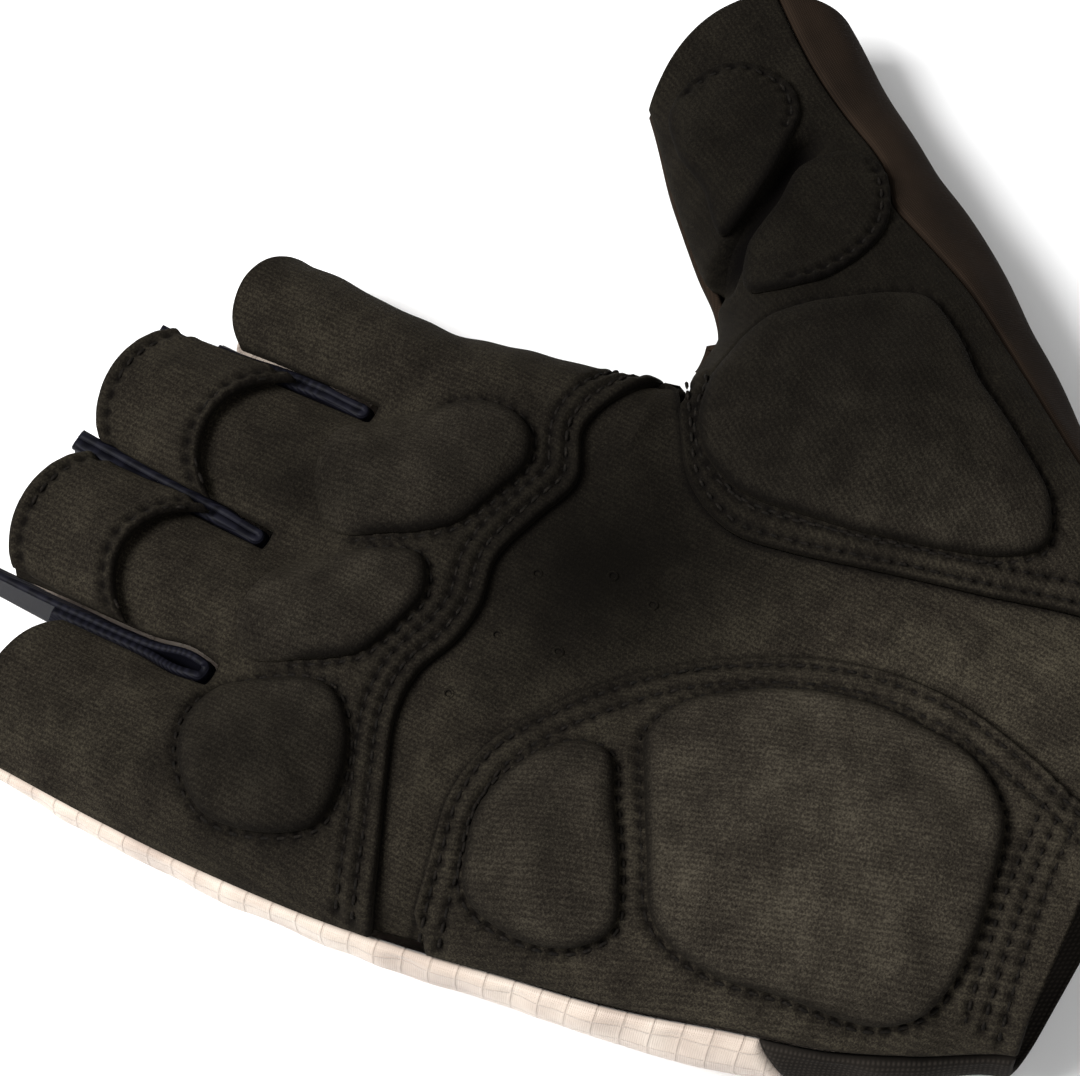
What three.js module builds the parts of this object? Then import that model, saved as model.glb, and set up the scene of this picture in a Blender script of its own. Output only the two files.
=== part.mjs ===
// A right-hand fingerless cycling glove lying on its back, palm up, built as it is sewn:
// suede palm panels, a light woven back, stretch thumb and wrist pieces, folded gussets
// between the fingers, two pull tabs and the padded islands on the palm.
// Millimetres. +X towards the thumb, +Y towards the fingers, +Z out of the palm.
// The origin is under the middle of the hand, on the surface that the glove rests on.
import * as THREE from "three";

// Driving sizes.
const GLOVE_LENGTH = 163; // cuff to the hem of the middle finger
const HAND_WIDTH = 90; // across the four finger stalls
const PALM_HEIGHT = 24; // hollow of the palm above the resting surface
const HEM_HEIGHT = 15.5; // crown of a finger stall at its hem
const SHOULDER_DROP = 4.2; // how far a stall falls from its crown to its gusset
const BACK_SHOULDER = 2.6; // how far the back rises beside a gusset
const SUEDE = 1.4; // palm-side wall
const BACK_CLOTH = 1.2; // back, thumb and wrist wall
const GUSSET_CLOTH = 1.0; // one layer of a folded gusset
const GUSSET_FOLD = 0.4; // air between the two layers of a gusset
const GUSSET_RISE = 2.3; // how far a gusset stands above the suede beside it
const GUSSET_PROUD = 1.5; // how far its ends stand out of the hems
const PAD_THICKNESS = 2.4; // foam island at its crown
const PAD_RIM = 0.8; // and at its sewn edge
const PATCH_THICKNESS = 1.6; // doubled suede on the thumb
const PATCH_RIM = 1.0; // and at its sewn edge
const TAB_CLOTH = 1.2; // finger pull tab
const TAB_LENGTH = 21; // from a finger's hem to the tab's open edge
const TAB_LIFT = 1.5; // how far the open edge stands off the finger
const TAB_INSET = 0.6; // from the hem to the folded end of a tab
const TAB_BOW = 3; // how far the middle of the open edge bows towards the hem
const TAB_SKEW = 1; // how much longer a tab is on the thumb side
const SEAM_GAP = 0.8; // between two panels that meet edge to edge
const BACK_SEAM_GAP = 1.4; // between the thumb's stretch back and the back of the hand
const LAYER_GAP = 0.5; // between two layers that lie on each other
const SEAM_LAP = 6; // how far the palm panel runs under its neighbours
const PALM_STEP = 0.6; // how far it lies under them
const SIDE_TUCK = 0.9; // and how much deeper where it rounds the outer side
const CUFF_SCOOP = 5; // how far the palm-side cuff is cut back
const HEM_BOW = 3; // how far a finger's hem bows forward
const CUFF_DEPTH = 23; // wrist piece on the back of the hand
const CUFF_CORNER = 8; // extra depth of the wrist piece at its outer corner
const CORNER_REACH = 0.06; // share of the back's width over which that corner runs out

// Plan tables: x is a share of HAND_WIDTH from the outer corner of the cuff, y a share of
// GLOVE_LENGTH from the cuff. Side tables also give the height of the widest line and the
// radius that the side is rounded with, as shares of PALM_HEIGHT and HAND_WIDTH.
const ORIGIN = { x: 0.33, y: 0.42 };
const OUTER_SIDE = [
  { x: 0.011, y: -0.08, z: 0.46, r: 0.13 },
  { x: -0.011, y: 0, z: 0.46, r: 0.13 },
  { x: -0.108, y: 0.08, z: 0.48, r: 0.15 },
  { x: -0.186, y: 0.153, z: 0.5, r: 0.16 },
  { x: -0.236, y: 0.236, z: 0.5, r: 0.17 },
  { x: -0.276, y: 0.319, z: 0.5, r: 0.17 },
  { x: -0.303, y: 0.411, z: 0.5, r: 0.155 },
  { x: -0.333, y: 0.497, z: 0.5, r: 0.14 },
  { x: -0.357, y: 0.589, z: 0.48, r: 0.13 },
  { x: -0.37, y: 0.687, z: 0.45, r: 0.125 },
  { x: -0.372, y: 0.785, z: 0.41, r: 0.12 },
  { x: -0.368, y: 0.87, z: 0.37, r: 0.12 },
  { x: -0.366, y: 0.932, z: 0.35, r: 0.12 },
  { x: -0.366, y: 1.06, z: 0.34, r: 0.12 },
];
const INNER_SIDE = [
  { x: 0.653, y: 1.06, z: 0.34, r: 0.11 },
  { x: 0.653, y: 0.932, z: 0.35, r: 0.11 },
  { x: 0.65, y: 0.834, z: 0.38, r: 0.11 },
  { x: 0.648, y: 0.742, z: 0.43, r: 0.11 },
  { x: 0.683, y: 0.66, z: 0.46, r: 0.11 },
  { x: 0.717, y: 0.595, z: 0.47, r: 0.11 },
  { x: 0.742, y: 0.56, z: 0.47, r: 0.11 },
  { x: 0.785, y: 0.545, z: 0.47, r: 0.11 },
  { x: 0.85, y: 0.547, z: 0.47, r: 0.12 },
  { x: 0.905, y: 0.567, z: 0.47, r: 0.14 },
  { x: 0.953, y: 0.6, z: 0.46, r: 0.16 },
  { x: 1.052, y: 0.656, z: 0.44, r: 0.17 },
  { x: 1.183, y: 0.722, z: 0.41, r: 0.17 },
  { x: 1.32, y: 0.81, z: 0.4, r: 0.17 },
];
const THUMB_SIDE = [
  { x: 0.81, y: -0.08, z: 0.46, r: 0.12 },
  { x: 0.822, y: 0, z: 0.46, r: 0.12 },
  { x: 0.839, y: 0.061, z: 0.47, r: 0.13 },
  { x: 0.878, y: 0.123, z: 0.48, r: 0.14 },
  { x: 0.942, y: 0.18, z: 0.5, r: 0.15 },
  { x: 1.008, y: 0.23, z: 0.52, r: 0.16 },
  { x: 1.1, y: 0.294, z: 0.52, r: 0.17 },
  { x: 1.204, y: 0.366, z: 0.5, r: 0.18 },
  { x: 1.308, y: 0.46, z: 0.48, r: 0.18 },
  { x: 1.4, y: 0.536, z: 0.45, r: 0.18 },
  { x: 1.494, y: 0.604, z: 0.42, r: 0.17 },
  { x: 1.64, y: 0.72, z: 0.4, r: 0.17 },
];
// How far the light back reaches up the outer side, as radians above its widest line.
const SIDE_LIP = [
  { y: 0, lip: 0.25 },
  { y: 0.1, lip: 0.4 },
  { y: 0.18, lip: 0.52 },
  { y: 0.3, lip: 0.45 },
  { y: 0.45, lip: 0.3 },
  { y: 0.65, lip: 0.24 },
  { y: 1, lip: 0.2 },
];
// Where the thumb piece is sewn to the palm and to the back, cuff to web.
const THUMB_SEAM = [
  { x: 0.694, y: 0 },
  { x: 0.672, y: 0.074 },
  { x: 0.65, y: 0.135 },
  { x: 0.598, y: 0.215 },
  { x: 0.551, y: 0.301 },
  { x: 0.517, y: 0.38 },
  { x: 0.511, y: 0.436 },
  { x: 0.556, y: 0.488 },
  { x: 0.644, y: 0.525 },
  { x: 0.742, y: 0.56 },
];
// Lines across the thumb: from its seam, or past the web its inner side (ix, iy), to its
// outer side (ox, oy). "top" is the share of the line, counted from the outer side, that the
// stretch back of the thumb covers on the palm side.
const THUMB_LINES = [
  { ix: 0.694, iy: 0, ox: 0.822, oy: 0, top: 0.3 },
  { ix: 0.672, iy: 0.074, ox: 0.845, oy: 0.074, top: 0.27 },
  { ix: 0.65, iy: 0.135, ox: 0.887, oy: 0.135, top: 0.24 },
  { ix: 0.598, iy: 0.215, ox: 0.993, oy: 0.215, top: 0.21 },
  { ix: 0.551, iy: 0.301, ox: 1.107, oy: 0.285, top: 0.19 },
  { ix: 0.517, iy: 0.38, ox: 1.18, oy: 0.335, top: 0.175 },
  { ix: 0.511, iy: 0.436, ox: 1.24, oy: 0.38, top: 0.18 },
  { ix: 0.556, iy: 0.488, ox: 1.275, oy: 0.412, top: 0.19 },
  { ix: 0.644, iy: 0.525, ox: 1.296, oy: 0.438, top: 0.21 },
  { ix: 0.742, iy: 0.56, ox: 1.307, oy: 0.45, top: 0.215 },
  { ix: 0.8, iy: 0.545, ox: 1.318, oy: 0.461, top: 0.215 },
  { ix: 0.89, iy: 0.56, ox: 1.34, oy: 0.485, top: 0.225 },
  { ix: 0.965, iy: 0.606, ox: 1.378, oy: 0.518, top: 0.245 },
  { ix: 1.07, iy: 0.666, ox: 1.438, oy: 0.564, top: 0.27 },
  { ix: 1.183, iy: 0.722, ox: 1.5, oy: 0.606, top: 0.29 },
];
// The gussets between the fingers: x at the crotch and at the hem, y of the crotch.
const GUSSETS = [
  { name: "fourchette_ring_little", root: -0.08, end: -0.082, crotch: 0.761 },
  { name: "fourchette_middle_ring", root: 0.164, end: 0.18, crotch: 0.788 },
  { name: "fourchette_index_middle", root: 0.436, end: 0.434, crotch: 0.77 },
];
const FINGERS = [
  { name: "little", hem: 0.934 },
  { name: "ring", hem: 1.0, tab: "pull_tab_ring" },
  { name: "middle", hem: 1.0, tab: "pull_tab_middle" },
  { name: "index", hem: 0.944 },
];
// Soft mounds and hollows of the palm: centre, half-lengths as shares of HAND_WIDTH,
// turn in degrees, rise as a share of PALM_HEIGHT.
const MOUNDS = [
  { name: "thumb base", x: 0.8, y: 0.345, long: 0.3, wide: 0.24, turn: 52, rise: 0.27 },
  { name: "heel", x: 0.1, y: 0.23, long: 0.36, wide: 0.26, turn: 108, rise: 0.18 },
  { name: "outer palm", x: -0.08, y: 0.43, long: 0.25, wide: 0.2, turn: 100, rise: 0.1 },
  { name: "hollow", x: 0.48, y: 0.5, long: 0.2, wide: 0.15, turn: 60, rise: -0.09 },
  { name: "knuckles", x: 0.05, y: 0.66, long: 0.4, wide: 0.16, turn: 0, rise: 0.04 },
  { name: "thumb stall", x: 1.3, y: 0.66, long: 0.3, wide: 0.3, turn: 45, rise: -0.19 },
];
const FINGER_SLOPE = { from: 0.6, to: 1 }; // where the palm falls to the height of the hems

// The stepped edge of the finger panel, as share of the way across and y.
const FRONT_SEAM = [
  { x: -0.345, y: 0.52 },
  { x: -0.22, y: 0.546 },
  { x: -0.125, y: 0.57 },
  { x: -0.02, y: 0.594 },
  { x: 0.055, y: 0.597 },
  { x: 0.13, y: 0.585 },
  { x: 0.2, y: 0.583 },
  { x: 0.285, y: 0.594 },
  { x: 0.385, y: 0.583 },
  { x: 0.47, y: 0.572 },
  { x: 0.56, y: 0.592 },
  { x: 0.64, y: 0.582 },
  { x: 0.735, y: 0.562 },
];
// The arched edge of the heel panel, from the outer side to the cuff.
const HEEL_SEAM = [
  { x: -0.318, y: 0.488 },
  { x: -0.2, y: 0.503 },
  { x: -0.1, y: 0.517 },
  { x: 0.0, y: 0.513 },
  { x: 0.1, y: 0.487 },
  { x: 0.21, y: 0.443 },
  { x: 0.3, y: 0.388 },
  { x: 0.375, y: 0.318 },
  { x: 0.415, y: 0.25 },
  { x: 0.425, y: 0.185 },
  { x: 0.407, y: 0.12 },
  { x: 0.375, y: 0.055 },
  { x: 0.35, y: 0.015 },
];
// Padded islands and doubled patches: closed outlines in plan.
const PADS = [
  { name: "pad_knuckle_index", outline: [[0.345, 0.785], [0.395, 0.776], [0.465, 0.73], [0.52, 0.672],
    [0.505, 0.632], [0.455, 0.617], [0.385, 0.624], [0.3, 0.642], [0.245, 0.68], [0.212, 0.735],
    [0.26, 0.77]] },
  { name: "pad_knuckle_ring", outline: [[0.09, 0.765], [0.14, 0.75], [0.2, 0.695], [0.225, 0.65],
    [0.175, 0.63], [0.107, 0.635], [0.035, 0.65], [-0.01, 0.69], [-0.035, 0.74], [0.015, 0.765]] },
  { name: "pad_knuckle_little", outline: [[-0.105, 0.744], [-0.06, 0.715], [-0.035, 0.655], [-0.08, 0.623],
    [-0.16, 0.602], [-0.24, 0.6], [-0.283, 0.632], [-0.3, 0.69], [-0.253, 0.732], [-0.175, 0.752]] },
  { name: "pad_thumb_base", outline: [[0.7, 0.515], [0.85, 0.5], [0.94, 0.445], [1.0, 0.393], [0.975, 0.355],
    [0.91, 0.31], [0.85, 0.255], [0.79, 0.205], [0.72, 0.188], [0.665, 0.215], [0.605, 0.3],
    [0.575, 0.385], [0.575, 0.45], [0.62, 0.495]] },
  { name: "pad_heel_small", outline: [[-0.165, 0.478], [-0.09, 0.487], [0.0, 0.475], [0.065, 0.445],
    [0.07, 0.415], [0.0, 0.388], [-0.1, 0.352], [-0.165, 0.338], [-0.215, 0.362], [-0.24, 0.42],
    [-0.225, 0.46]] },
  { name: "pad_heel_large", outline: [[0.13, 0.398], [0.2, 0.386], [0.285, 0.335], [0.34, 0.265],
    [0.355, 0.2], [0.34, 0.14], [0.29, 0.105], [0.19, 0.085], [0.06, 0.072], [-0.03, 0.08], [-0.09, 0.115],
    [-0.125, 0.19], [-0.15, 0.262], [-0.13, 0.31], [-0.04, 0.345], [0.06, 0.378]] },
  { name: "thumb_crotch_patch", patch: true, outline: [[0.9, 0.528], [0.97, 0.553], [1.06, 0.552],
    [1.15, 0.552], [1.21, 0.52], [1.2, 0.487], [1.11, 0.456], [1.02, 0.46], [0.94, 0.485]] },
  { name: "thumb_tip_patch", patch: true, outline: [[0.985, 0.582], [1.05, 0.622], [1.11, 0.667],
    [1.175, 0.694], [1.24, 0.686], [1.29, 0.655], [1.29, 0.612], [1.245, 0.584], [1.16, 0.575],
    [1.06, 0.574]] },
];

// Finer points of the shape.
const VALLEY = { // the dip along a gusset, in shares of HAND_WIDTH and GLOVE_LENGTH
  half: 0.128, run: 0.13, softPalm: 0.35, softFinger: 0.06, sharpen: 0.03, over: 0.04,
};
const BACK_VALLEY = { from: 0.7, to: 0.8 }; // where the back starts to rise beside the gussets
const BACK_ROUND = 0.8; // the back is rounded more tightly than the palm, by this share
const GUSSET_FOOT = 0.2; // from the back's outer skin up to a gusset's lower edge
const GUSSET_TURN = [0.3, 0.5, 0.7]; // where the fold has points, as shares of its half turn
const GUSSET_GROW = { from: 2.4, run: 6 }; // where a gusset's edge rises, past its crotch
const WEB = { retreat: 1.4, from: 6, run: 12 }; // how the palm panel stops short of the web's corner
const TAB_EDGE = 0.03; // from a finger's side to a tab's, as a share of the finger's width
const TUBE = { from: 0.5, run: 0.12, hem: 0.8 }; // rows at which the thumb closes and its hem bows
const PAD_RINGS = [0.35, 0.68, 0.9, 1]; // shares of the way out to a pad's edge
const PATCH_RINGS = [0.45, 0.85, 1];
const PAD_EDGE_POWER = 6; // how steeply a pad falls to its rim
const SIDE_BLEND = 2; // the palm panel's laps follow the outer side over this many of its roundings
const TUCK_BLEND = 1.6; // and its deeper tuck over this many
const HEEL_CORNER = { sideY: 0.472, seamX: -0.28, seamY: 0.495 }; // where the heel panel starts
const SIDE_ROUND = 0.45; // share of an outer finger that its free side rounds off
const LIP_ROUND = 0.35; // share of the heel's width that the outer side rounds off
const INNER_ROUND = 0.14; // share of HAND_WIDTH that the palm panel rounds off at the side
const THUMB_ROUND = 0.35; // share of a thumb line that rounds off at the inner side
const THUMB_HEM_BOW = 7; // how far the hem of the thumb bows forward

// Mesh density.
const FINE = {
  rim: 5, ray: 6, outerRay: 4, palmRows: 6, fingerRows: 5, across: 8, padSpokes: 18, lip: 2,
  heelRows: 14, seamFront: 13, seamThumb: 13, thumbRows: 22, thumbAcross: 5, backRows: 10,
  wristRows: 3, gussetRows: 5, gussetHigh: 3, tabRows: 5,
};

const smooth = (t) => {
  const c = Math.min(1, Math.max(0, t));
  return c * c * (3 - 2 * c);
};
const mix = (a, b, t) => a + (b - a) * t;
const range = (n) => Array.from({ length: n + 1 }, (_, i) => i / n);
const plan = (p) => new THREE.Vector3(p.x * HAND_WIDTH, p.y * GLOVE_LENGTH, 0);

// A smooth curve through the rows of a plan table, sampled closely.
function traced(rows, samples = 160) {
  return new THREE.CatmullRomCurve3(rows.map(plan), false, "centripetal").getPoints(samples);
}

// A side of the glove: plan points with the height and the radius of the rounding.
function side(rows, samples = 200) {
  const line = new THREE.CatmullRomCurve3(rows.map(plan), false, "centripetal");
  const shape = new THREE.CatmullRomCurve3(
    rows.map((p) => new THREE.Vector3(p.z * PALM_HEIGHT, p.r * HAND_WIDTH, 0)), false, "centripetal");
  return range(samples).map((t) => {
    const s = shape.getPoint(t);
    return { at: line.getPoint(t), z: s.x, r: s.y };
  });
}
const outerSide = side(OUTER_SIDE);
const innerSide = side(INNER_SIDE);
const thumbSide = side(THUMB_SIDE);
const sides = [outerSide, innerSide, thumbSide];

// x of a traced line at a given y, on its first stretch that reaches it.
function xAt(points, y) {
  for (let i = 1; i < points.length; i++) {
    const a = points[i - 1];
    const b = points[i];
    if ((a.y - y) * (b.y - y) <= 0 && a.y !== b.y) return mix(a.x, b.x, (y - a.y) / (b.y - a.y));
  }
  return points[points.length - 1].x;
}
const outerLine = outerSide.map((p) => p.at);
const innerLine = innerSide.map((p) => p.at);
const thumbLine = thumbSide.map((p) => p.at);
const thumbSeam = traced(THUMB_SEAM);
const webEnd = thumbSeam[thumbSeam.length - 1];
const radialX = (y) => xAt(y < webEnd.y ? thumbSeam : innerLine, y);

// x of the line where a gusset stands, at a given y.
const gussetX = (g, y) => {
  const t = (y / GLOVE_LENGTH - g.crotch) / (1 - g.crotch);
  return mix(g.root, g.end, Math.max(-2, t)) * HAND_WIDTH;
};

// Nearest point of a side: how far, at which height, with which radius.
function nearest(points, x, y) {
  let best = { d: Infinity };
  for (let i = 1; i < points.length; i++) {
    const a = points[i - 1].at;
    const b = points[i].at;
    const dx = b.x - a.x;
    const dy = b.y - a.y;
    const t = Math.min(1, Math.max(0, ((x - a.x) * dx + (y - a.y) * dy) / (dx * dx + dy * dy)));
    const d = Math.hypot(x - a.x - dx * t, y - a.y - dy * t);
    if (d >= best.d) continue;
    best = { d, z: mix(points[i - 1].z, points[i].z, t), r: mix(points[i - 1].r, points[i].r, t) };
  }
  return best;
}
// 1 on the side itself, 0 from the rounding radius inwards, along a quarter of an ellipse.
const fall = (d, r) => 1 - Math.sqrt(1 - Math.max(0, 1 - d / r) ** 2);

// The valley that a gusset draws between two fingers: 1 on the gusset, 0 at a finger's middle.
function valley(x, y) {
  let sum = 0;
  for (const g of GUSSETS) {
    const past = y / GLOVE_LENGTH - g.crotch;
    const grow = smooth((past + VALLEY.run) / VALLEY.run);
    const soft = mix(VALLEY.softPalm, VALLEY.softFinger, smooth((past + VALLEY.sharpen) / VALLEY.over));
    const s = Math.hypot((x - gussetX(g, y)) / (VALLEY.half * HAND_WIDTH), soft) - soft;
    sum += grow * Math.max(0, 1 - s) ** 2;
  }
  return sum;
}

// Height of the palm-side face over the resting surface.
function palmFace(x, y) {
  const slope = smooth((y / GLOVE_LENGTH - FINGER_SLOPE.from) / (FINGER_SLOPE.to - FINGER_SLOPE.from));
  let z = mix(PALM_HEIGHT, HEM_HEIGHT, slope);
  for (const m of MOUNDS) {
    const a = THREE.MathUtils.degToRad(m.turn);
    const dx = x - m.x * HAND_WIDTH;
    const dy = y - m.y * GLOVE_LENGTH;
    const p = (dx * Math.cos(a) + dy * Math.sin(a)) / (m.long * HAND_WIDTH);
    const q = (dy * Math.cos(a) - dx * Math.sin(a)) / (m.wide * HAND_WIDTH);
    z += m.rise * PALM_HEIGHT * Math.exp(-p * p - q * q);
  }
  z -= SHOULDER_DROP * valley(x, y);
  return sides.reduce((h, s) => {
    const n = nearest(s, x, y);
    return h - fall(n.d, n.r) * (z - n.z);
  }, z);
}
// Height of the back of the glove: flat where it rests, rounded up to the sides.
function backFace(x, y) {
  const onFingers = smooth((y / GLOVE_LENGTH - BACK_VALLEY.from) / (BACK_VALLEY.to - BACK_VALLEY.from));
  const rise = BACK_SHOULDER * valley(x, y) * onFingers;
  return sides.reduce((h, s) => {
    const n = nearest(s, x, y);
    return h + fall(n.d, n.r * BACK_ROUND) * (n.z - h);
  }, rise);
}
const onPalm = (x, y) => new THREE.Vector3(x, y, palmFace(x, y));
const onBack = (x, y) => new THREE.Vector3(x, y, backFace(x, y));

// A closed wall: the faces carried out and in along the normals of the sheet, with a rim.
// "out" and "inn" give the distance of the two skins from the sheet at each point.
function wall(points, faces, facing, out, inn) {
  const normals = points.map(() => new THREE.Vector3());
  const cross = (f) => {
    const [a, b, c, d] = [points[f[0]], points[f[1]], points[f[2]], points[f[f.length - 1]]];
    return new THREE.Vector3().subVectors(c, a).cross(new THREE.Vector3().subVectors(d, b));
  };
  const triangleCross = (f) => new THREE.Vector3()
    .subVectors(points[f[1]], points[f[0]]).cross(new THREE.Vector3().subVectors(points[f[2]], points[f[0]]));
  const areas = faces.map((f) => (f.length === 4 ? cross(f) : triangleCross(f)));
  const total = areas.reduce((s, n) => s.add(n), new THREE.Vector3());
  const turned = facing.dot(total) < 0;
  const sheet = turned ? faces.map((f) => [...f].reverse()) : faces;
  sheet.forEach((f, i) => f.forEach((p) => normals[p].addScaledVector(areas[i], turned ? -1 : 1)));
  const position = [];
  const skin = (distance) => points.forEach((p, i) => {
    const n = normals[i].normalize();
    position.push(p.x + n.x * distance(i), p.y + n.y * distance(i), p.z + n.z * distance(i));
  });
  skin(out);
  skin(inn);
  const index = [];
  const count = points.length;
  const edges = new Map();
  for (const f of sheet) {
    for (let k = 2; k < f.length; k++) {
      index.push(f[0], f[k - 1], f[k]);
      index.push(f[0] + count, f[k] + count, f[k - 1] + count);
    }
    f.forEach((a, k) => {
      const b = f[(k + 1) % f.length];
      if (edges.has(b + "," + a)) edges.delete(b + "," + a);
      else edges.set(a + "," + b, [a, b]);
    });
  }
  for (const [a, b] of edges.values()) index.push(b, a, a + count, b, a + count, b + count);
  const geometry = new THREE.BufferGeometry();
  geometry.setAttribute("position", new THREE.Float32BufferAttribute(position, 3));
  geometry.setIndex(index);
  return geometry;
}
const UP = new THREE.Vector3(0, 0, 1);
const DOWN = new THREE.Vector3(0, 0, -1);

// A wall whose sheet is a grid of rows, each row a list of points. "sink" gives how far the
// outer skin of a row lies under the sheet.
function gridWall(rows, facing, thickness, sink = () => 0) {
  const width = rows[0].length;
  const faces = [];
  for (let r = 1; r < rows.length; r++) {
    for (let c = 1; c < width; c++) {
      faces.push([(r - 1) * width + c - 1, (r - 1) * width + c, r * width + c, r * width + c - 1]);
    }
  }
  const under = (i) => sink(Math.floor(i / width));
  return wall(rows.flat(), faces, facing, (i) => -under(i), (i) => -under(i) - thickness);
}

const looks = {
  suede: new THREE.MeshStandardMaterial({ color: "#2b2721", roughness: 0.95, metalness: 0 }),
  pad: new THREE.MeshStandardMaterial({ color: "#302c25", roughness: 0.95, metalness: 0 }),
  stretch: new THREE.MeshStandardMaterial({ color: "#2a1f18", roughness: 0.85, metalness: 0 }),
  ripstop: new THREE.MeshStandardMaterial({ color: "#d8cabb", roughness: 0.7, metalness: 0 }),
  satin: new THREE.MeshStandardMaterial({ color: "#1d1d29", roughness: 0.45, metalness: 0 }),
};
const glove = new THREE.Group();
glove.position.set(-ORIGIN.x * HAND_WIDTH, -ORIGIN.y * GLOVE_LENGTH, 0);
function add(name, geometry, look) {
  const mesh = new THREE.Mesh(geometry, looks[look]);
  mesh.name = name;
  glove.add(mesh);
}

// Where the sewn edge of a rounded side starts, in radians above or below its widest line.
const SIDE_START = SEAM_GAP / 2 / (0.12 * HAND_WIDTH);

// Shares of a span that ends on a rounded side: even inside, closer towards the side.
// "round" is the share that is rounded, "start" the angle above the widest line where it ends.
function towardsSide(round, inside, rim, start = SIDE_START) {
  const shares = range(inside).map((t) => t * (1 - round));
  for (let k = 1; k <= rim; k++) shares.push(1 - round * (1 - Math.cos(mix(Math.PI / 2, start, k / rim))));
  return shares;
}
const fromSide = (...args) => towardsSide(...args).reverse().map((s) => 1 - s);

// The columns of the four fingers: which finger, and the share of the way across it.
function fingerColumns(firstShares) {
  return [
    ...firstShares.map((s) => ({ finger: 0, s })),
    ...[1, 2].flatMap((finger) => range(FINE.ray).map((s) => ({ finger, s }))),
    ...towardsSide(SIDE_ROUND, FINE.outerRay, FINE.rim).map((s) => ({ finger: 3, s })),
  ];
}
// How far inside the outer side the palm panels start, to leave room for the light lip.
const lipCurve = new THREE.CatmullRomCurve3(
  SIDE_LIP.map((p) => new THREE.Vector3(p.lip, p.y * GLOVE_LENGTH, 0)), false, "centripetal").getPoints(60);
const lipAt = (y) => xAt(lipCurve, Math.min(GLOVE_LENGTH, Math.max(0, y)));
const radiusAt = (y) => nearest(outerSide, xAt(outerLine, y), y).r;
const lipInset = (y) => radiusAt(y) * (1 - Math.cos(lipAt(y) + 2 * SIDE_START));
const afterLip = (shares) => shares.map((s) => (s - shares[0]) / (1 - shares[0]));
// From a gusset's middle to a panel beside it.
const SLOT = GUSSET_CLOTH + GUSSET_FOLD / 2 + SEAM_GAP / 2;
const palmEdges = { left: (y) => xAt(outerLine, y) + lipInset(y), right: radialX };
function fingerX(column, y, edges) {
  const left = column.finger === 0 ? edges.left(y) : gussetX(GUSSETS[column.finger - 1], y) + SLOT;
  const right = column.finger === 3 ? edges.right(y) : gussetX(GUSSETS[column.finger], y) - SLOT;
  return mix(left, right, column.s);
}
// y of the crotch line and of the hem at a column.
function crotchY(column) {
  const left = GUSSETS[Math.max(0, column.finger - 1)].crotch;
  const right = GUSSETS[Math.min(2, column.finger)].crotch;
  return mix(left, right, column.s) * GLOVE_LENGTH;
}
const hemY = (column) => FINGERS[column.finger].hem * GLOVE_LENGTH - HEM_BOW * (2 * column.s - 1) ** 2;

// The four fingers as one sheet, joined below the crotches and split above them.
function fingerSheet(columns, startY, face, palmRows, edges) {
  const points = [];
  const faces = [];
  const rows = palmRows + FINE.fingerRows + 1;
  columns.forEach((column, c) => {
    const start = startY(column);
    for (let r = 0; r < rows; r++) {
      const y = r <= palmRows
        ? mix(start, crotchY(column), r / palmRows)
        : mix(crotchY(column), hemY(column), (r - palmRows) / FINE.fingerRows);
      points.push(face(fingerX(column, y, edges), y));
      const joined = c > 0 && (columns[c - 1].finger === column.finger || r <= palmRows);
      const before = (c - 1) * rows + r;
      if (joined && r > 0) faces.push([before - 1, before + rows - 1, before + rows, before]);
    }
  });
  return { points, faces };
}

// y of a seam that runs across the hand, at a given x.
const across = (points, x) => {
  const first = points[0];
  const last = points[points.length - 1];
  const inside = Math.min(Math.max(x, Math.min(first.x, last.x)), Math.max(first.x, last.x));
  return xAt(points.map((p) => ({ x: p.y, y: p.x })), inside);
};
const cuffWidth = THUMB_SIDE[1].x * HAND_WIDTH;
const cuffY = (x) => CUFF_SCOOP * Math.sin(Math.PI * Math.min(1, Math.max(0, x / cuffWidth)));

// Length along a list of points, and the point at a length.
function measured(points) {
  const lengths = [0];
  for (let i = 1; i < points.length; i++) lengths.push(lengths[i - 1] + points[i].distanceTo(points[i - 1]));
  const total = lengths[lengths.length - 1];
  const at = (length) => {
    const l = Math.min(total, Math.max(0, length));
    const i = Math.max(1, lengths.findIndex((v) => v >= l));
    return points[i - 1].clone().lerp(points[i], (l - lengths[i - 1]) / (lengths[i] - lengths[i - 1]));
  };
  const near = (p) => {
    let best = { d: Infinity, l: 0 };
    points.forEach((q, i) => {
      const d = q.distanceTo(p);
      if (d < best.d) best = { d, l: lengths[i] };
    });
    return best.l;
  };
  return { total, at, near };
}

const frontSeam = traced(FRONT_SEAM);
const heelSeam = traced(HEEL_SEAM);

// Palm side of the four fingers, down to the stepped seam across the knuckles.
const palmColumns = fingerColumns(afterLip(fromSide(SIDE_ROUND, FINE.outerRay, FINE.rim, SIDE_LIP[4].lip)));
const knuckleY = FRONT_SEAM[2].y * GLOVE_LENGTH;
const fingerStart = (column) => across(frontSeam, fingerX(column, knuckleY, palmEdges));
const fingerPanel = fingerSheet(palmColumns, fingerStart, onPalm, FINE.palmRows, palmEdges);
add("finger_panel", wall(fingerPanel.points, fingerPanel.faces, UP, () => 0, () => -SUEDE), "suede");

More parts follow.
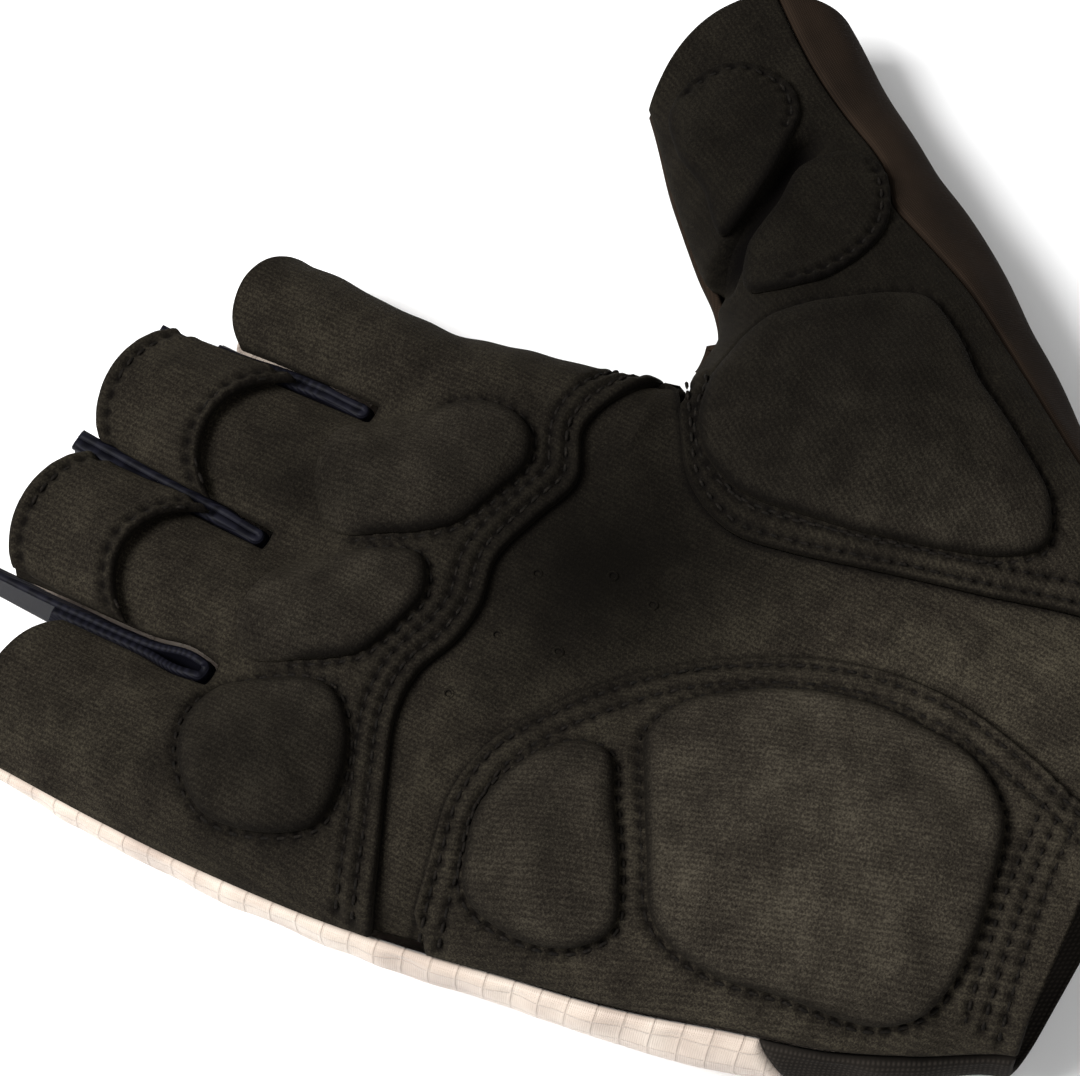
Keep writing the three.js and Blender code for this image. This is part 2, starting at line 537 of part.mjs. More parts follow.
// Heel of the hand, between the outer side and the arched seam.
function heelPanel() {
  const seam = measured(heelSeam);
  const corner = seam.near(plan({ x: HEEL_CORNER.seamX, y: HEEL_CORNER.seamY }));
  const shares = afterLip(fromSide(LIP_ROUND, FINE.outerRay + 1, FINE.rim, SIDE_LIP[3].lip));
  const rows = range(FINE.heelRows).map((t) => {
    const y = mix(HEEL_CORNER.sideY * GLOVE_LENGTH, 0, t);
    const left = new THREE.Vector3(palmEdges.left(y), y, 0);
    const right = seam.at(mix(corner, seam.total, t));
    return shares.map((s) => {
      const p = left.clone().lerp(right, s);
      return onPalm(p.x, t === 1 ? cuffY(p.x) : p.y);
    });
  });
  add("heel_panel", gridWall(rows, UP, SUEDE), "suede");
}
heelPanel();

// Middle of the palm, one layer lower, run under the finger, thumb and heel panels.
function palmPanel() {
  const front = measured(frontSeam);
  const thumb = measured([...thumbSeam].reverse());
  const heel = measured(heelSeam);
  const near = INNER_ROUND * HAND_WIDTH;
  const lengths = [];
  for (let k = 0; k < FINE.rim; k++) lengths.push(near * (1 - Math.cos((k / FINE.rim) * Math.PI / 2)));
  range(FINE.seamFront).forEach((t) => lengths.push(mix(near, front.total, t)));
  range(FINE.seamThumb).slice(1).forEach((t) => lengths.push(front.total + t * thumb.total));
  const upperAt = (l) => (l <= front.total ? front.at(l) : thumb.at(l - front.total));
  const total = front.total + thumb.total;
  const lowerAt = (l) => heel.at(l <= near ? l : mix(near, heel.total, (l - near) / (total - near)));
  const upper = lengths.map(upperAt);
  const lower = lengths.map(lowerAt);
  const lapped = (edge, turn, corner) => edge.map((p, i) => {
    const a = edge[Math.max(0, i - 1)];
    const b = edge[Math.min(edge.length - 1, i + 1)];
    const outwards = new THREE.Vector3(-(b.y - a.y), b.x - a.x, 0).normalize().multiplyScalar(turn);
    const fromWeb = Math.abs(lengths[i] - front.total);
    const lap = corner ? mix(-WEB.retreat, SEAM_LAP, smooth((fromWeb - WEB.from) / WEB.run)) : SEAM_LAP;
    const bySeam = p.clone().addScaledVector(outwards, lap);
    const bySide = new THREE.Vector3(0, p.y + turn * lap, 0);
    bySide.x = xAt(outerLine, bySide.y) + Math.max(0, p.x - xAt(outerLine, p.y));
    return bySide.lerp(bySeam, smooth(lengths[i] / (SIDE_BLEND * near)));
  });
  const high = lapped(upper, 1, true);
  const low = lapped(lower, -1, false);
  const rows = lengths.map((l, i) => range(FINE.across).map((s) => {
    const p = low[i].clone().lerp(high[i], s);
    return onPalm(p.x, i === lengths.length - 1 ? cuffY(p.x) : p.y);
  }));
  const sink = (i) => SUEDE + PALM_STEP + SIDE_TUCK * (1 - smooth(lengths[i] / (TUCK_BLEND * near)));
  add("palm_panel", gridWall(rows, UP, SUEDE, sink), "suede");
}
palmPanel();

// The thumb: lines across it, on the palm side and on the back.
function thumbLines() {
  const pastWeb = innerLine.slice(innerLine.findIndex((p) => p.x > webEnd.x));
  const inner = measured([...thumbSeam, ...pastWeb]);
  const outer = measured(thumbLine);
  const keys = THUMB_LINES.map((row) => ({
    a: inner.near(plan({ x: row.ix, y: row.iy })),
    b: outer.near(plan({ x: row.ox, y: row.oy })),
    top: row.top,
  }));
  const percent = keys.map((k) => new THREE.Vector3(k.a, k.b, k.top * 100));
  const track = new THREE.CatmullRomCurve3(percent, false, "centripetal");
  return range(FINE.thumbRows).map((t) => {
    const k = track.getPoint(t);
    return { from: inner.at(k.x), to: outer.at(k.y), top: k.z / 100, t };
  });
}
const thumbRows = thumbLines();
function thumbPoint(row, s) {
  const p = row.from.clone().lerp(row.to, s);
  if (row.t === 0) p.y = cuffY(p.x);
  const along = new THREE.Vector3(-(row.to.y - row.from.y), row.to.x - row.from.x, 0).normalize();
  const bow = THUMB_HEM_BOW * smooth((row.t - TUBE.hem) / (1 - TUBE.hem));
  return p.addScaledVector(along, bow * (1 - (2 * s - 1) ** 2));
}
function thumbPanel() {
  const rows = thumbRows.map((row) => {
    const end = 1 - row.top - SEAM_GAP / 2 / row.from.distanceTo(row.to);
    return fromSide(THUMB_ROUND, FINE.thumbAcross, FINE.rim).map((s) => {
      const p = thumbPoint(row, s * end);
      return onPalm(p.x, p.y);
    });
  });
  add("thumb_panel", gridWall(rows, UP, SUEDE), "suede");
}
thumbPanel();

// The stretch back of the thumb: from its seam on the palm side over the outer side and round
// the back to the back seam, or past the web to the inner side.
function thumbBack() {
  const rows = thumbRows.map((row) => {
    const span = row.from.distanceTo(row.to);
    const first = 1 - row.top + SEAM_GAP / 2 / span;
    const over = range(FINE.rim).map((k) => mix(first, 1, Math.sin(k * Math.PI / 2)));
    const onTube = smooth((row.t - TUBE.from) / TUBE.run);
    const last = mix(BACK_SEAM_GAP / 2 / span, 0, onTube);
    const top = over.map((s) => thumbPoint(row, s)).map((p) => onPalm(p.x, p.y));
    const under = fromSide(THUMB_ROUND, FINE.thumbAcross, FINE.rim);
    const round = towardsSide(THUMB_ROUND, 0, FINE.rim, 0).slice(1);
    const flat = under.filter((s) => s < 1 - THUMB_ROUND - 1 / FINE.thumbRows);
    const shares = [...flat, ...round].sort((a, b) => b - a);
    const back = shares.slice(1).map((s) => thumbPoint(row, mix(last, 1, s))).map((p) => onBack(p.x, p.y));
    return [...top, ...back];
  });
  add("thumb_back", gridWall(rows, DOWN, BACK_CLOTH), "stretch");
}
thumbBack();

// The wrist piece and the light back meet on this line. On the outer side it swings towards
// the fingers, so the wrist piece ends there in a slanted corner.
const backEdges = {
  left: (y) => xAt(outerLine, y),
  right: (y) => radialX(y) - (y < webEnd.y ? BACK_SEAM_GAP / 2 : 0),
};
const handShare = (x, y) => (x - backEdges.left(y)) / (backEdges.right(y) - backEdges.left(y));
const wristY = (share) => CUFF_DEPTH + (CUFF_CORNER / 2) * Math.exp(-((share / CORNER_REACH) ** 2));

// Points of the back piece over the outer side, from its free edge down to the widest line;
// "corner" is how much further towards the fingers the free edge lies than the widest line.
function lipRow(y, corner = 0) {
  return range(FINE.lip).slice(0, -1).map((t) => {
    const at = y + corner * (1 - t);
    const a = mix(lipAt(at), 0, t);
    return onPalm(xAt(outerLine, at) + nearest(outerSide, xAt(outerLine, at), at).r * (1 - Math.cos(a)), at);
  });
}
const backColumns = fingerColumns(fromSide(SIDE_ROUND, FINE.outerRay, FINE.rim, 0));
function backPanel() {
  const start = (column) => {
    const x = fingerX(column, CUFF_DEPTH, backEdges);
    return wristY(handShare(x, CUFF_DEPTH)) + SEAM_GAP / 2;
  };
  const sheet = fingerSheet(backColumns, start, onBack, FINE.backRows, backEdges);
  const rows = FINE.backRows + FINE.fingerRows + 1;
  const side = sheet.points.slice(0, rows);
  const base = sheet.points.length;
  side.forEach((p, r) => sheet.points.push(...lipRow(p.y, r === 0 ? CUFF_CORNER / 2 : 0)));
  for (let r = 1; r < rows; r++) {
    for (let k = 0; k < FINE.lip; k++) {
      const at = (row, c) => (c === FINE.lip ? row : base + row * FINE.lip + c);
      sheet.faces.push([at(r - 1, k), at(r - 1, k + 1), at(r, k + 1), at(r, k)]);
    }
  }
  add("back_panel", wall(sheet.points, sheet.faces, DOWN, () => 0, () => -BACK_CLOTH), "ripstop");
}
backPanel();

function cuffBack() {
  const shares = fromSide(SIDE_ROUND / 2, FINE.outerRay * 2, FINE.rim, 0);
  const rows = range(FINE.wristRows).map((t) => {
    const row = shares.map((s) => {
      const y = t * (wristY(s) - SEAM_GAP / 2);
      return onBack(mix(backEdges.left(y), backEdges.right(y), s), y);
    });
    return [...lipRow(row[0].y, (t * CUFF_CORNER) / 2), ...row];
  });
  add("cuff_back", gridWall(rows, DOWN, BACK_CLOTH), "stretch");
}
cuffBack();

// A gusset: one strip folded at the crotch, a layer along each of the two fingers.
function gusset(g, fingers) {
  const half = (GUSSET_FOLD + GUSSET_CLOTH) / 2;
  const turn = g.crotch * GLOVE_LENGTH + GUSSET_CLOTH + SEAM_GAP + half;
  const path = [];
  const leg = (sign) => range(FINE.gussetRows).map((t) => {
    const y = mix(turn, fingers[sign < 0 ? 0 : 1].hem * GLOVE_LENGTH - HEM_BOW + GUSSET_PROUD, t);
    return new THREE.Vector3(gussetX(g, y) + sign * half, y, 0);
  });
  path.push(...leg(-1).reverse());
  for (const a of GUSSET_TURN.map((share) => share * Math.PI)) {
    path.push(new THREE.Vector3(gussetX(g, turn) - half * Math.cos(a), turn - half * Math.sin(a), 0));
  }
  path.push(...leg(1));
  const rows = path.map((p) => {
    const grown = smooth((p.y - turn + GUSSET_GROW.from) / GUSSET_GROW.run);
    const high = palmFace(p.x, p.y) + GUSSET_RISE * grown;
    const low = backFace(p.x, p.y) + GUSSET_FOOT;
    return range(FINE.gussetHigh).map((s) => new THREE.Vector3(p.x, p.y, mix(low, high, s)));
  });
  add(g.name, gridWall(rows, new THREE.Vector3(0, -1, 0), GUSSET_CLOTH, () => -GUSSET_CLOTH / 2), "satin");
}
GUSSETS.forEach((g, i) => gusset(g, [FINGERS[i], FINGERS[i + 1]]));

// A pull tab: a doubled band across a finger, sewn at the hem and open towards the palm.
function pullTab(finger, index) {
  const shares = range(FINE.ray + 2).map((t) => mix(TAB_EDGE, 1 - TAB_EDGE, t));
  const rows = range(FINE.tabRows).map((t) => shares.map((s) => {
    const column = { finger: index, s };
    const open = TAB_LENGTH - TAB_BOW * (1 - (2 * s - 1) ** 2) + TAB_SKEW * s;
    const y = hemY(column) - mix(TAB_INSET, open, t);
    return onPalm(fingerX(column, y, palmEdges), y);
  }));
  const lift = (i) => LAYER_GAP + TAB_LIFT * smooth(i / FINE.tabRows);
  add(finger.tab, gridWall(rows, UP, TAB_CLOTH, (i) => -lift(i) - TAB_CLOTH), "suede");
}
FINGERS.forEach((finger, i) => finger.tab && pullTab(finger, i));

// A padded island or a doubled patch on the palm-side face.
function island(pad) {
  const edge = new THREE.CatmullRomCurve3(
    pad.outline.map(([x, y]) => plan({ x, y })), true, "centripetal")
    .getSpacedPoints(FINE.padSpokes).slice(0, -1);
  const centre = edge.reduce((s, p) => s.add(p), new THREE.Vector3()).divideScalar(edge.length);
  const rings = pad.patch ? PATCH_RINGS : PAD_RINGS;
  const points = [onPalm(centre.x, centre.y)];
  const ringOf = [0];
  rings.forEach((share) => edge.forEach((p) => {
    const q = centre.clone().lerp(p, share);
    points.push(onPalm(q.x, q.y));
    ringOf.push(share);
  }));
  const n = edge.length;
  const faces = [];
  for (let k = 0; k < n; k++) {
    const next = (k + 1) % n;
    faces.push([0, 1 + k, 1 + next]);
    for (let r = 1; r < rings.length; r++) {
      faces.push([1 + (r - 1) * n + k, 1 + r * n + k, 1 + r * n + next, 1 + (r - 1) * n + next]);
    }
  }
  const crown = pad.patch ? PATCH_THICKNESS : PAD_THICKNESS;
  const rim = pad.patch ? PATCH_RIM : PAD_RIM;
  const thickness = (i) => mix(rim, crown, Math.sqrt(1 - ringOf[i] ** PAD_EDGE_POWER));
  add(pad.name, wall(points, faces, UP, (i) => LAYER_GAP + thickness(i), () => LAYER_GAP), "pad");
}
PADS.forEach(island);

export default glove;
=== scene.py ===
# %% [markdown]
# A fingerless cycling glove for the right hand lies on its back, palm up. This file dresses the
# measured model of it in cloth: every panel, pad and gusset becomes a fine surface worked out
# with numpy, sewn with real stitches and finished as suede, ripstop, knit and satin.

# %% Load the frame
import math

import bpy
import numpy as np
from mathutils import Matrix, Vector


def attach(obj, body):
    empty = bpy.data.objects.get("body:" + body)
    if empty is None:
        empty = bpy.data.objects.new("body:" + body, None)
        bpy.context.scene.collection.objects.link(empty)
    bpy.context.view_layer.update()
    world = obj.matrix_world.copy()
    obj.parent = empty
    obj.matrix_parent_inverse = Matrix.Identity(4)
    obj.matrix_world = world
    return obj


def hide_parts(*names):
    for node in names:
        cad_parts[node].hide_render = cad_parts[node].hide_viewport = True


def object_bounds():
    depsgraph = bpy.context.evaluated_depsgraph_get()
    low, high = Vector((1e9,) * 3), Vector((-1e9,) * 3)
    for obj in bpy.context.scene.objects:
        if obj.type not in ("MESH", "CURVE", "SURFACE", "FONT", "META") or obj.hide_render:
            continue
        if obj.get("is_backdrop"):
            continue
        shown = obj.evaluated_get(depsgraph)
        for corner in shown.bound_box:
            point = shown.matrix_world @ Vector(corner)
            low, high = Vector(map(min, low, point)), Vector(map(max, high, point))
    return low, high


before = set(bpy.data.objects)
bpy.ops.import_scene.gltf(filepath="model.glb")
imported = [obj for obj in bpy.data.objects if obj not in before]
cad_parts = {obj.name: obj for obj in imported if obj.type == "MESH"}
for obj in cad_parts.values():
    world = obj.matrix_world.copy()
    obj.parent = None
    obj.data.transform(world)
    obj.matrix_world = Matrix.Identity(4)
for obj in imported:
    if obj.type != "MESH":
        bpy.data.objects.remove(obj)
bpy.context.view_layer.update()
print("nodes:", len(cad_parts))

# %% [markdown]
# The camera comes first. The photograph looks down on the palm from the outer side of the
# hand, 65 degrees above the table, through a long lens. Its frame is 1080 by 1076 pixels.

# %% Camera
MM = 0.001
PHOTO_WIDTH = 1080
FOCAL_PIXELS = 4550
AZIMUTH, ELEVATION = math.radians(-60), math.radians(65)
CAMERA_DISTANCE = 650 * MM
LOOKS_AT = Vector((5.29, 26.67, 15)) * MM
SENSOR = 36

away = Vector((math.sin(AZIMUTH) * math.cos(ELEVATION),
               -math.cos(AZIMUTH) * math.cos(ELEVATION), math.sin(ELEVATION)))
camera = bpy.data.objects.new("camera", bpy.data.cameras.new("camera"))
camera.data.sensor_width = SENSOR
camera.data.lens = SENSOR * FOCAL_PIXELS / PHOTO_WIDTH
camera.location = LOOKS_AT + away * CAMERA_DISTANCE
camera.rotation_mode = "QUATERNION"
camera.rotation_quaternion = (-away).to_track_quat("-Z", "Y")
camera.data.clip_start, camera.data.clip_end = 0.01, 20
bpy.context.scene.collection.objects.link(camera)
bpy.context.scene.camera = camera
print("lens:", round(camera.data.lens, 1), "mm")

# %% [markdown]
# Small helpers for curves and blends. A pattern maker draws an outline through a few marked
# points with a flexible curve; the function below does the same for a table of points.

# %% Curves
def smooth(t):
    """Eases from 0 to 1: three t squared less two t cubed, held outside 0 to 1."""
    c = np.clip(t, 0, 1)
    return c * c * (3 - 2 * c)


def mix(a, b, t):
    """A share t of the way from a to b."""
    return a + (b - a) * t


def through(points, t, closed=False):
    """Point at share t of a smooth curve through the points: between two of them a cubic whose
    slopes come from the neighbours, each weighted by the root of its distance."""
    p = np.asarray(points, float)
    spans = len(p) if closed else len(p) - 1
    place = np.clip(np.asarray(t, float), 0, 1) * spans
    i = np.minimum(place.astype(int), spans - 1)
    f = (place - i)[..., None]
    ends = p if closed else np.vstack([2 * p[0] - p[1], p, 2 * p[-1] - p[-2]])
    a, b, c, d = (ends[(i + k) % len(p)] if closed else ends[i + k + 1] for k in (-1, 0, 1, 2))
    ab, bc, cd = (np.sqrt(np.linalg.norm(v - u, axis=-1, keepdims=True) + 1e-9)
                  for u, v in ((a, b), (b, c), (c, d)))
    slope_b = ((b - a) / ab - (c - a) / (ab + bc) + (c - b) / bc) * bc
    slope_c = ((c - b) / bc - (d - b) / (bc + cd) + (d - c) / cd) * bc
    return ((2 * f ** 3 - 3 * f ** 2 + 1) * b + (f ** 3 - 2 * f ** 2 + f) * slope_b
            + (3 * f ** 2 - 2 * f ** 3) * c + (f ** 3 - f ** 2) * slope_c)


# %% [markdown]
# Everything sewn is placed by its distance from a seam and its length along it. These helpers
# measure both, and place points at given lengths, so that stitches come evenly spaced.

# %% Lengths and distances
def lengths(line):
    """Length along a line from its start to each of its points."""
    return np.concatenate([[0], np.cumsum(np.linalg.norm(np.diff(line, axis=0), axis=1))])


def at_length(line, length):
    """Points of a line at given lengths from its start."""
    run = lengths(line)
    return np.stack([np.interp(length, run, line[:, k]) for k in range(line.shape[1])], -1)


def offset(line, distance):
    """The line moved sideways in plan by a distance, to the left of its direction."""
    along = np.gradient(line[:, :2], axis=0)
    along /= np.linalg.norm(along, axis=1, keepdims=True)
    return line[:, :2] + np.reshape(distance, (-1, 1)) * np.stack([-along[:, 1], along[:, 0]], 1)


def nearest(line, x, y):
    """For each point: distance to a line in plan, length along it there, and its index there."""
    flat = np.stack([np.ravel(x), np.ravel(y)], 1)
    run = lengths(line[:, :2])
    found = []
    for block in np.array_split(flat, max(1, len(flat) // 20000)):
        k = ((block[:, None] - line[None, :, :2]) ** 2).sum(2).argmin(1)
        options = []
        for first in (np.clip(k - 1, 0, len(line) - 2), np.clip(k, 0, len(line) - 2)):
            a, b = line[first, :2], line[first + 1, :2]
            t = np.clip(((block - a) * (b - a)).sum(1) / ((b - a) ** 2).sum(1), 0, 1)
            gap = np.linalg.norm(block - mix(a, b, t[:, None]), axis=1)
            options.append(np.stack([gap, mix(run[first], run[first + 1], t), first + t]))
        found.append(np.where(options[0][0] < options[1][0], options[0], options[1]))
    return np.concatenate(found, 1).reshape(3, *np.shape(x))


# %% [markdown]
# A grid over cloth is fine where the cloth turns, at its edges, and coarser in between.

# %% Steps of a grid
def graded(total, fine, coarse, start=0, end=0):
    """Shares of a length with fine steps along its first and last stretch, coarse between."""
    steps = [np.linspace(0, start, max(2, int(start / fine))) if start else [0],
             np.linspace(start, total - end, max(3, int((total - start - end) / coarse))),
             np.linspace(total - end, total, max(2, int(end / fine))) if end else [total]]
    return np.unique(np.round(np.concatenate(steps), 6)) / total


# %% [markdown]
# The glove's measurements, in millimetres, and its outlines in plan. In each table x is a
# share of the hand's width from the outer corner of the cuff and y a share of the glove's
# length from the cuff. A side also has the height of its widest line and the radius that it
# is rounded with, as shares of the palm's height and of the hand's width.

# %% Sizes and outlines
LENGTH, WIDTH, HEIGHT = 163, 90, 24
ORIGIN = np.array([0.33 * WIDTH, 0.42 * LENGTH, 0])
HEM_HEIGHT, SHOULDER_DROP, BACK_SHOULDER = 15.5, 4.2, 2.6
SUEDE, CLOTH, GUSSET_CLOTH = 1.4, 1.2, 1.0
GUSSET_FOLD, GUSSET_PROUD = 0.4, 1.5
SEAM_GAP, SEAM_LAP, PALM_STEP, SIDE_TUCK = 0.2, 6, 0.6, 0.9
CUFF_SCOOP, HEM_BOW = 5, 3
CUFF_DEPTH, CUFF_CORNER, CORNER_REACH = 23, 8, 0.06

OUTER_SIDE = [(0.011, -0.08, 0.46, 0.13), (-0.011, 0, 0.46, 0.13), (-0.108, 0.08, 0.48, 0.15),
              (-0.186, 0.153, 0.5, 0.16), (-0.236, 0.236, 0.5, 0.17), (-0.276, 0.319, 0.5, 0.17),
              (-0.303, 0.411, 0.5, 0.155), (-0.333, 0.497, 0.5, 0.14), (-0.357, 0.589, 0.48, 0.13),
              (-0.37, 0.687, 0.45, 0.125), (-0.372, 0.785, 0.41, 0.12), (-0.368, 0.87, 0.37, 0.12),
              (-0.366, 0.932, 0.35, 0.12), (-0.366, 1.06, 0.34, 0.12)]
INNER_SIDE = [(0.653, 1.06, 0.34, 0.11), (0.653, 0.932, 0.35, 0.11), (0.65, 0.834, 0.38, 0.11),
              (0.648, 0.742, 0.43, 0.11), (0.683, 0.66, 0.46, 0.11), (0.717, 0.595, 0.47, 0.11),
              (0.742, 0.56, 0.47, 0.11), (0.785, 0.545, 0.47, 0.11), (0.85, 0.547, 0.47, 0.12),
              (0.905, 0.567, 0.47, 0.14), (0.953, 0.6, 0.46, 0.16), (1.052, 0.656, 0.44, 0.17),
              (1.183, 0.722, 0.41, 0.17), (1.32, 0.81, 0.4, 0.17)]
THUMB_SIDE = [(0.81, -0.08, 0.46, 0.12), (0.822, 0, 0.46, 0.12), (0.839, 0.061, 0.47, 0.13),
              (0.878, 0.123, 0.48, 0.14), (0.942, 0.18, 0.5, 0.15), (1.008, 0.23, 0.52, 0.16),
              (1.1, 0.294, 0.52, 0.17), (1.204, 0.366, 0.5, 0.18), (1.308, 0.46, 0.48, 0.18),
              (1.4, 0.536, 0.45, 0.18), (1.494, 0.604, 0.42, 0.17), (1.64, 0.72, 0.4, 0.17)]
SIDE_LIP = [(0, 0.25), (0.1, 0.4), (0.18, 0.52), (0.3, 0.45), (0.45, 0.3), (0.65, 0.24), (1, 0.2)]
THUMB_SEAM = [(0.694, 0), (0.672, 0.074), (0.65, 0.135), (0.598, 0.215), (0.551, 0.301),
              (0.517, 0.38), (0.511, 0.436), (0.556, 0.488), (0.644, 0.525), (0.742, 0.56)]
FRONT_SEAM = [(-0.345, 0.52), (-0.22, 0.546), (-0.125, 0.57), (-0.02, 0.594), (0.055, 0.597),
              (0.13, 0.585), (0.2, 0.583), (0.285, 0.594), (0.385, 0.583), (0.47, 0.572),
              (0.56, 0.592), (0.64, 0.582), (0.735, 0.562)]
HEEL_SEAM = [(-0.318, 0.488), (-0.2, 0.503), (-0.1, 0.517), (0.0, 0.513), (0.1, 0.487),
             (0.21, 0.443), (0.3, 0.388), (0.375, 0.318), (0.415, 0.25), (0.425, 0.185),
             (0.407, 0.12), (0.375, 0.055), (0.35, 0.015)]
THUMB_LINES = [(0.694, 0, 0.822, 0, 0.3), (0.672, 0.074, 0.845, 0.074, 0.27),
               (0.65, 0.135, 0.887, 0.135, 0.24), (0.598, 0.215, 0.993, 0.215, 0.21),
               (0.551, 0.301, 1.107, 0.285, 0.19), (0.517, 0.38, 1.18, 0.335, 0.175),
               (0.511, 0.436, 1.24, 0.38, 0.18), (0.556, 0.488, 1.275, 0.412, 0.19),
               (0.644, 0.525, 1.296, 0.438, 0.21), (0.742, 0.56, 1.307, 0.45, 0.215),
               (0.8, 0.545, 1.318, 0.461, 0.215), (0.89, 0.56, 1.34, 0.485, 0.225),
               (0.965, 0.606, 1.378, 0.518, 0.245), (1.07, 0.666, 1.438, 0.564, 0.27),
               (1.183, 0.722, 1.5, 0.606, 0.29)]
# A gusset: node, x at the crotch, x at the hem, y of the crotch.
GUSSETS = [("fourchette_ring_little", -0.08, -0.082, 0.761),
           ("fourchette_middle_ring", 0.164, 0.18, 0.788),
           ("fourchette_index_middle", 0.436, 0.434, 0.77)]
HEMS = [0.934, 1.0, 1.0, 0.944]
# A mound of the palm: x, y, long and wide half-lengths, turn in degrees, rise.
MOUNDS = [(0.8, 0.345, 0.3, 0.24, 52, 0.27), (0.1, 0.23, 0.36, 0.26, 108, 0.18),
          (-0.08, 0.43, 0.25, 0.2, 100, 0.1), (0.48, 0.5, 0.2, 0.15, 60, -0.09),
          (0.05, 0.66, 0.4, 0.16, 0, 0.04), (1.3, 0.66, 0.3, 0.3, 45, -0.19)]


def plan(rows):
    """Plan points in millimetres from rows that start with an x and a y share."""
    return np.asarray(rows, float)[:, :2] * (WIDTH, LENGTH)


def side(rows, samples=201):
    """A side of the glove as a line of x, y, height and rounding radius."""
    t = np.linspace(0, 1, samples)
    shape = np.asarray(rows, float)[:, 2:] * (HEIGHT, WIDTH)
    return np.hstack([through(plan(rows), t), through(shape, t)])


outer, inner, thumb_outer = side(OUTER_SIDE), side(INNER_SIDE), side(THUMB_SIDE)
thumb_seam, front_seam, heel_seam = (through(plan(rows), np.linspace(0, 1, 161))
                                     for rows in (THUMB_SEAM, FRONT_SEAM, HEEL_SEAM))
web = thumb_seam[-1]
inner_fall = inner[: inner[:, 1].argmin() + 1][::-1]
lip_line = through(np.array([(lip, y * LENGTH) for y, lip in SIDE_LIP]), np.linspace(0, 1, 61))
print("web at", np.round(web, 1), "mm")


# %% [markdown]
# Lines of the glove that are asked for by their x: the outer side, the seam at the thumb and
# the three gussets. The gussets are nearly straight, so two shares are enough for each.

# %% Lines across the glove
def outer_x(y):
    """x of the outer side at a given y."""
    return np.interp(y, outer[:, 1], outer[:, 0])


def radial_x(y):
    """x of the thumb's seam below the web, and of the index finger's side above it."""
    return np.where(np.asarray(y) < web[1], np.interp(y, thumb_seam[:, 1], thumb_seam[:, 0]),
                    np.interp(y, inner_fall[:, 1], inner_fall[:, 0]))


def gusset_x(g, y):
    """x of the line where gusset g stands."""
    name, root, end, crotch = GUSSETS[g]
    t = (np.asarray(y) / LENGTH - crotch) / (1 - crotch)
    return mix(root, end, np.maximum(-2, t)) * WIDTH


print("palm width at the cuff:", round(float(radial_x(0) - outer_x(0)), 1), "mm")

# %% [markdown]
# The body of the glove is two height fields over the table: the palm face and the back. Both
# fall to the same widest line along a quarter of an ellipse, so they meet all round. Soft
# mounds lift the palm and valleys run between the fingers.

# %% Faces
VALLEY_RUN, VALLEY_HALF, VALLEY_SOFT = 0.13, 0.128, (0.35, 0.06)
SLOPE_FROM, BACK_RISE_FROM, BACK_RISE_RUN, BACK_TIGHT = 0.6, 0.7, 0.1, 0.8


def valley(x, y):
    """How deep a point lies in the dip beside a gusset: 1 on its line, 0 at a finger's crown."""
    total = 0
    for g, (name, root, end, crotch) in enumerate(GUSSETS):
        past = y / LENGTH - crotch
        grow = smooth((past + VALLEY_RUN) / VALLEY_RUN)
        soft = mix(*VALLEY_SOFT, smooth((past + 0.03) / 0.04))
        s = np.hypot((x - gusset_x(g, y)) / (VALLEY_HALF * WIDTH), soft) - soft
        total = total + grow * np.maximum(0, 1 - s) ** 2
    return total


def to_sides(x, y, crown, tight):
    """Carries a crown height down, or up, to each side's widest line along an ellipse."""
    for line in (outer, inner, thumb_outer):
        gap, run, index = nearest(line, x, y)
        z, r = (np.interp(index, np.arange(len(line)), line[:, k]) for k in (2, 3))
        crown = mix(crown, z, 1 - np.sqrt(1 - np.maximum(0, 1 - gap / (r * tight)) ** 2))
    return crown


def palm_face(x, y):
    """Height of the palm side: a level palm that slopes to the hems, with mounds and valleys."""
    z = mix(HEIGHT, HEM_HEIGHT, smooth((y / LENGTH - SLOPE_FROM) / (1 - SLOPE_FROM)))
    for mx, my, long, wide, turn, rise in MOUNDS:
        c, s = math.cos(math.radians(turn)), math.sin(math.radians(turn))
        dx, dy = x - mx * WIDTH, y - my * LENGTH
        p, q = (dx * c + dy * s) / (long * WIDTH), (dy * c - dx * s) / (wide * WIDTH)
        z = z + rise * HEIGHT * np.exp(-p * p - q * q)
    return to_sides(x, y, z - SHOULDER_DROP * valley(x, y), 1)


def back_face(x, y):
    """Height of the back: flat on the table, rounded up to the sides and beside the gussets."""
    rise = BACK_SHOULDER * valley(x, y) * smooth((y / LENGTH - BACK_RISE_FROM) / BACK_RISE_RUN)
    return to_sides(x, y, rise, BACK_TIGHT)


def on(face, xy):
    """Plan points lifted onto a face."""
    return np.dstack([xy[..., 0], xy[..., 1], face(xy[..., 0], xy[..., 1])])


# %% [markdown]
# At the cuff the palm side is cut back in a scoop. On the outer side the light back comes up
# over the edge as a lip, so the suede starts where that lip ends.

# %% Cuff and lip
def cuff_y(x):
    """The palm side of the cuff is cut back in a shallow scoop."""
    return CUFF_SCOOP * np.sin(np.pi * np.clip(x / (THUMB_SIDE[1][0] * WIDTH), 0, 1))


def lip_angle(y):
    """How far the light back reaches up the outer side, in radians above its widest line."""
    return np.interp(np.clip(y, 0, LENGTH), lip_line[:, 1], lip_line[:, 0])


def outer_radius(y):
    """Radius that the outer side is rounded with."""
    return np.interp(y, outer[:, 1], outer[:, 3])


LIP_GAP = 0.04  # radians left free between the light lip and the suede


def palm_left(y):
    """x where the palm-side panels start, beside the light lip."""
    return outer_x(y) + outer_radius(y) * (1 - np.cos(lip_angle(y) + 2 * LIP_GAP))


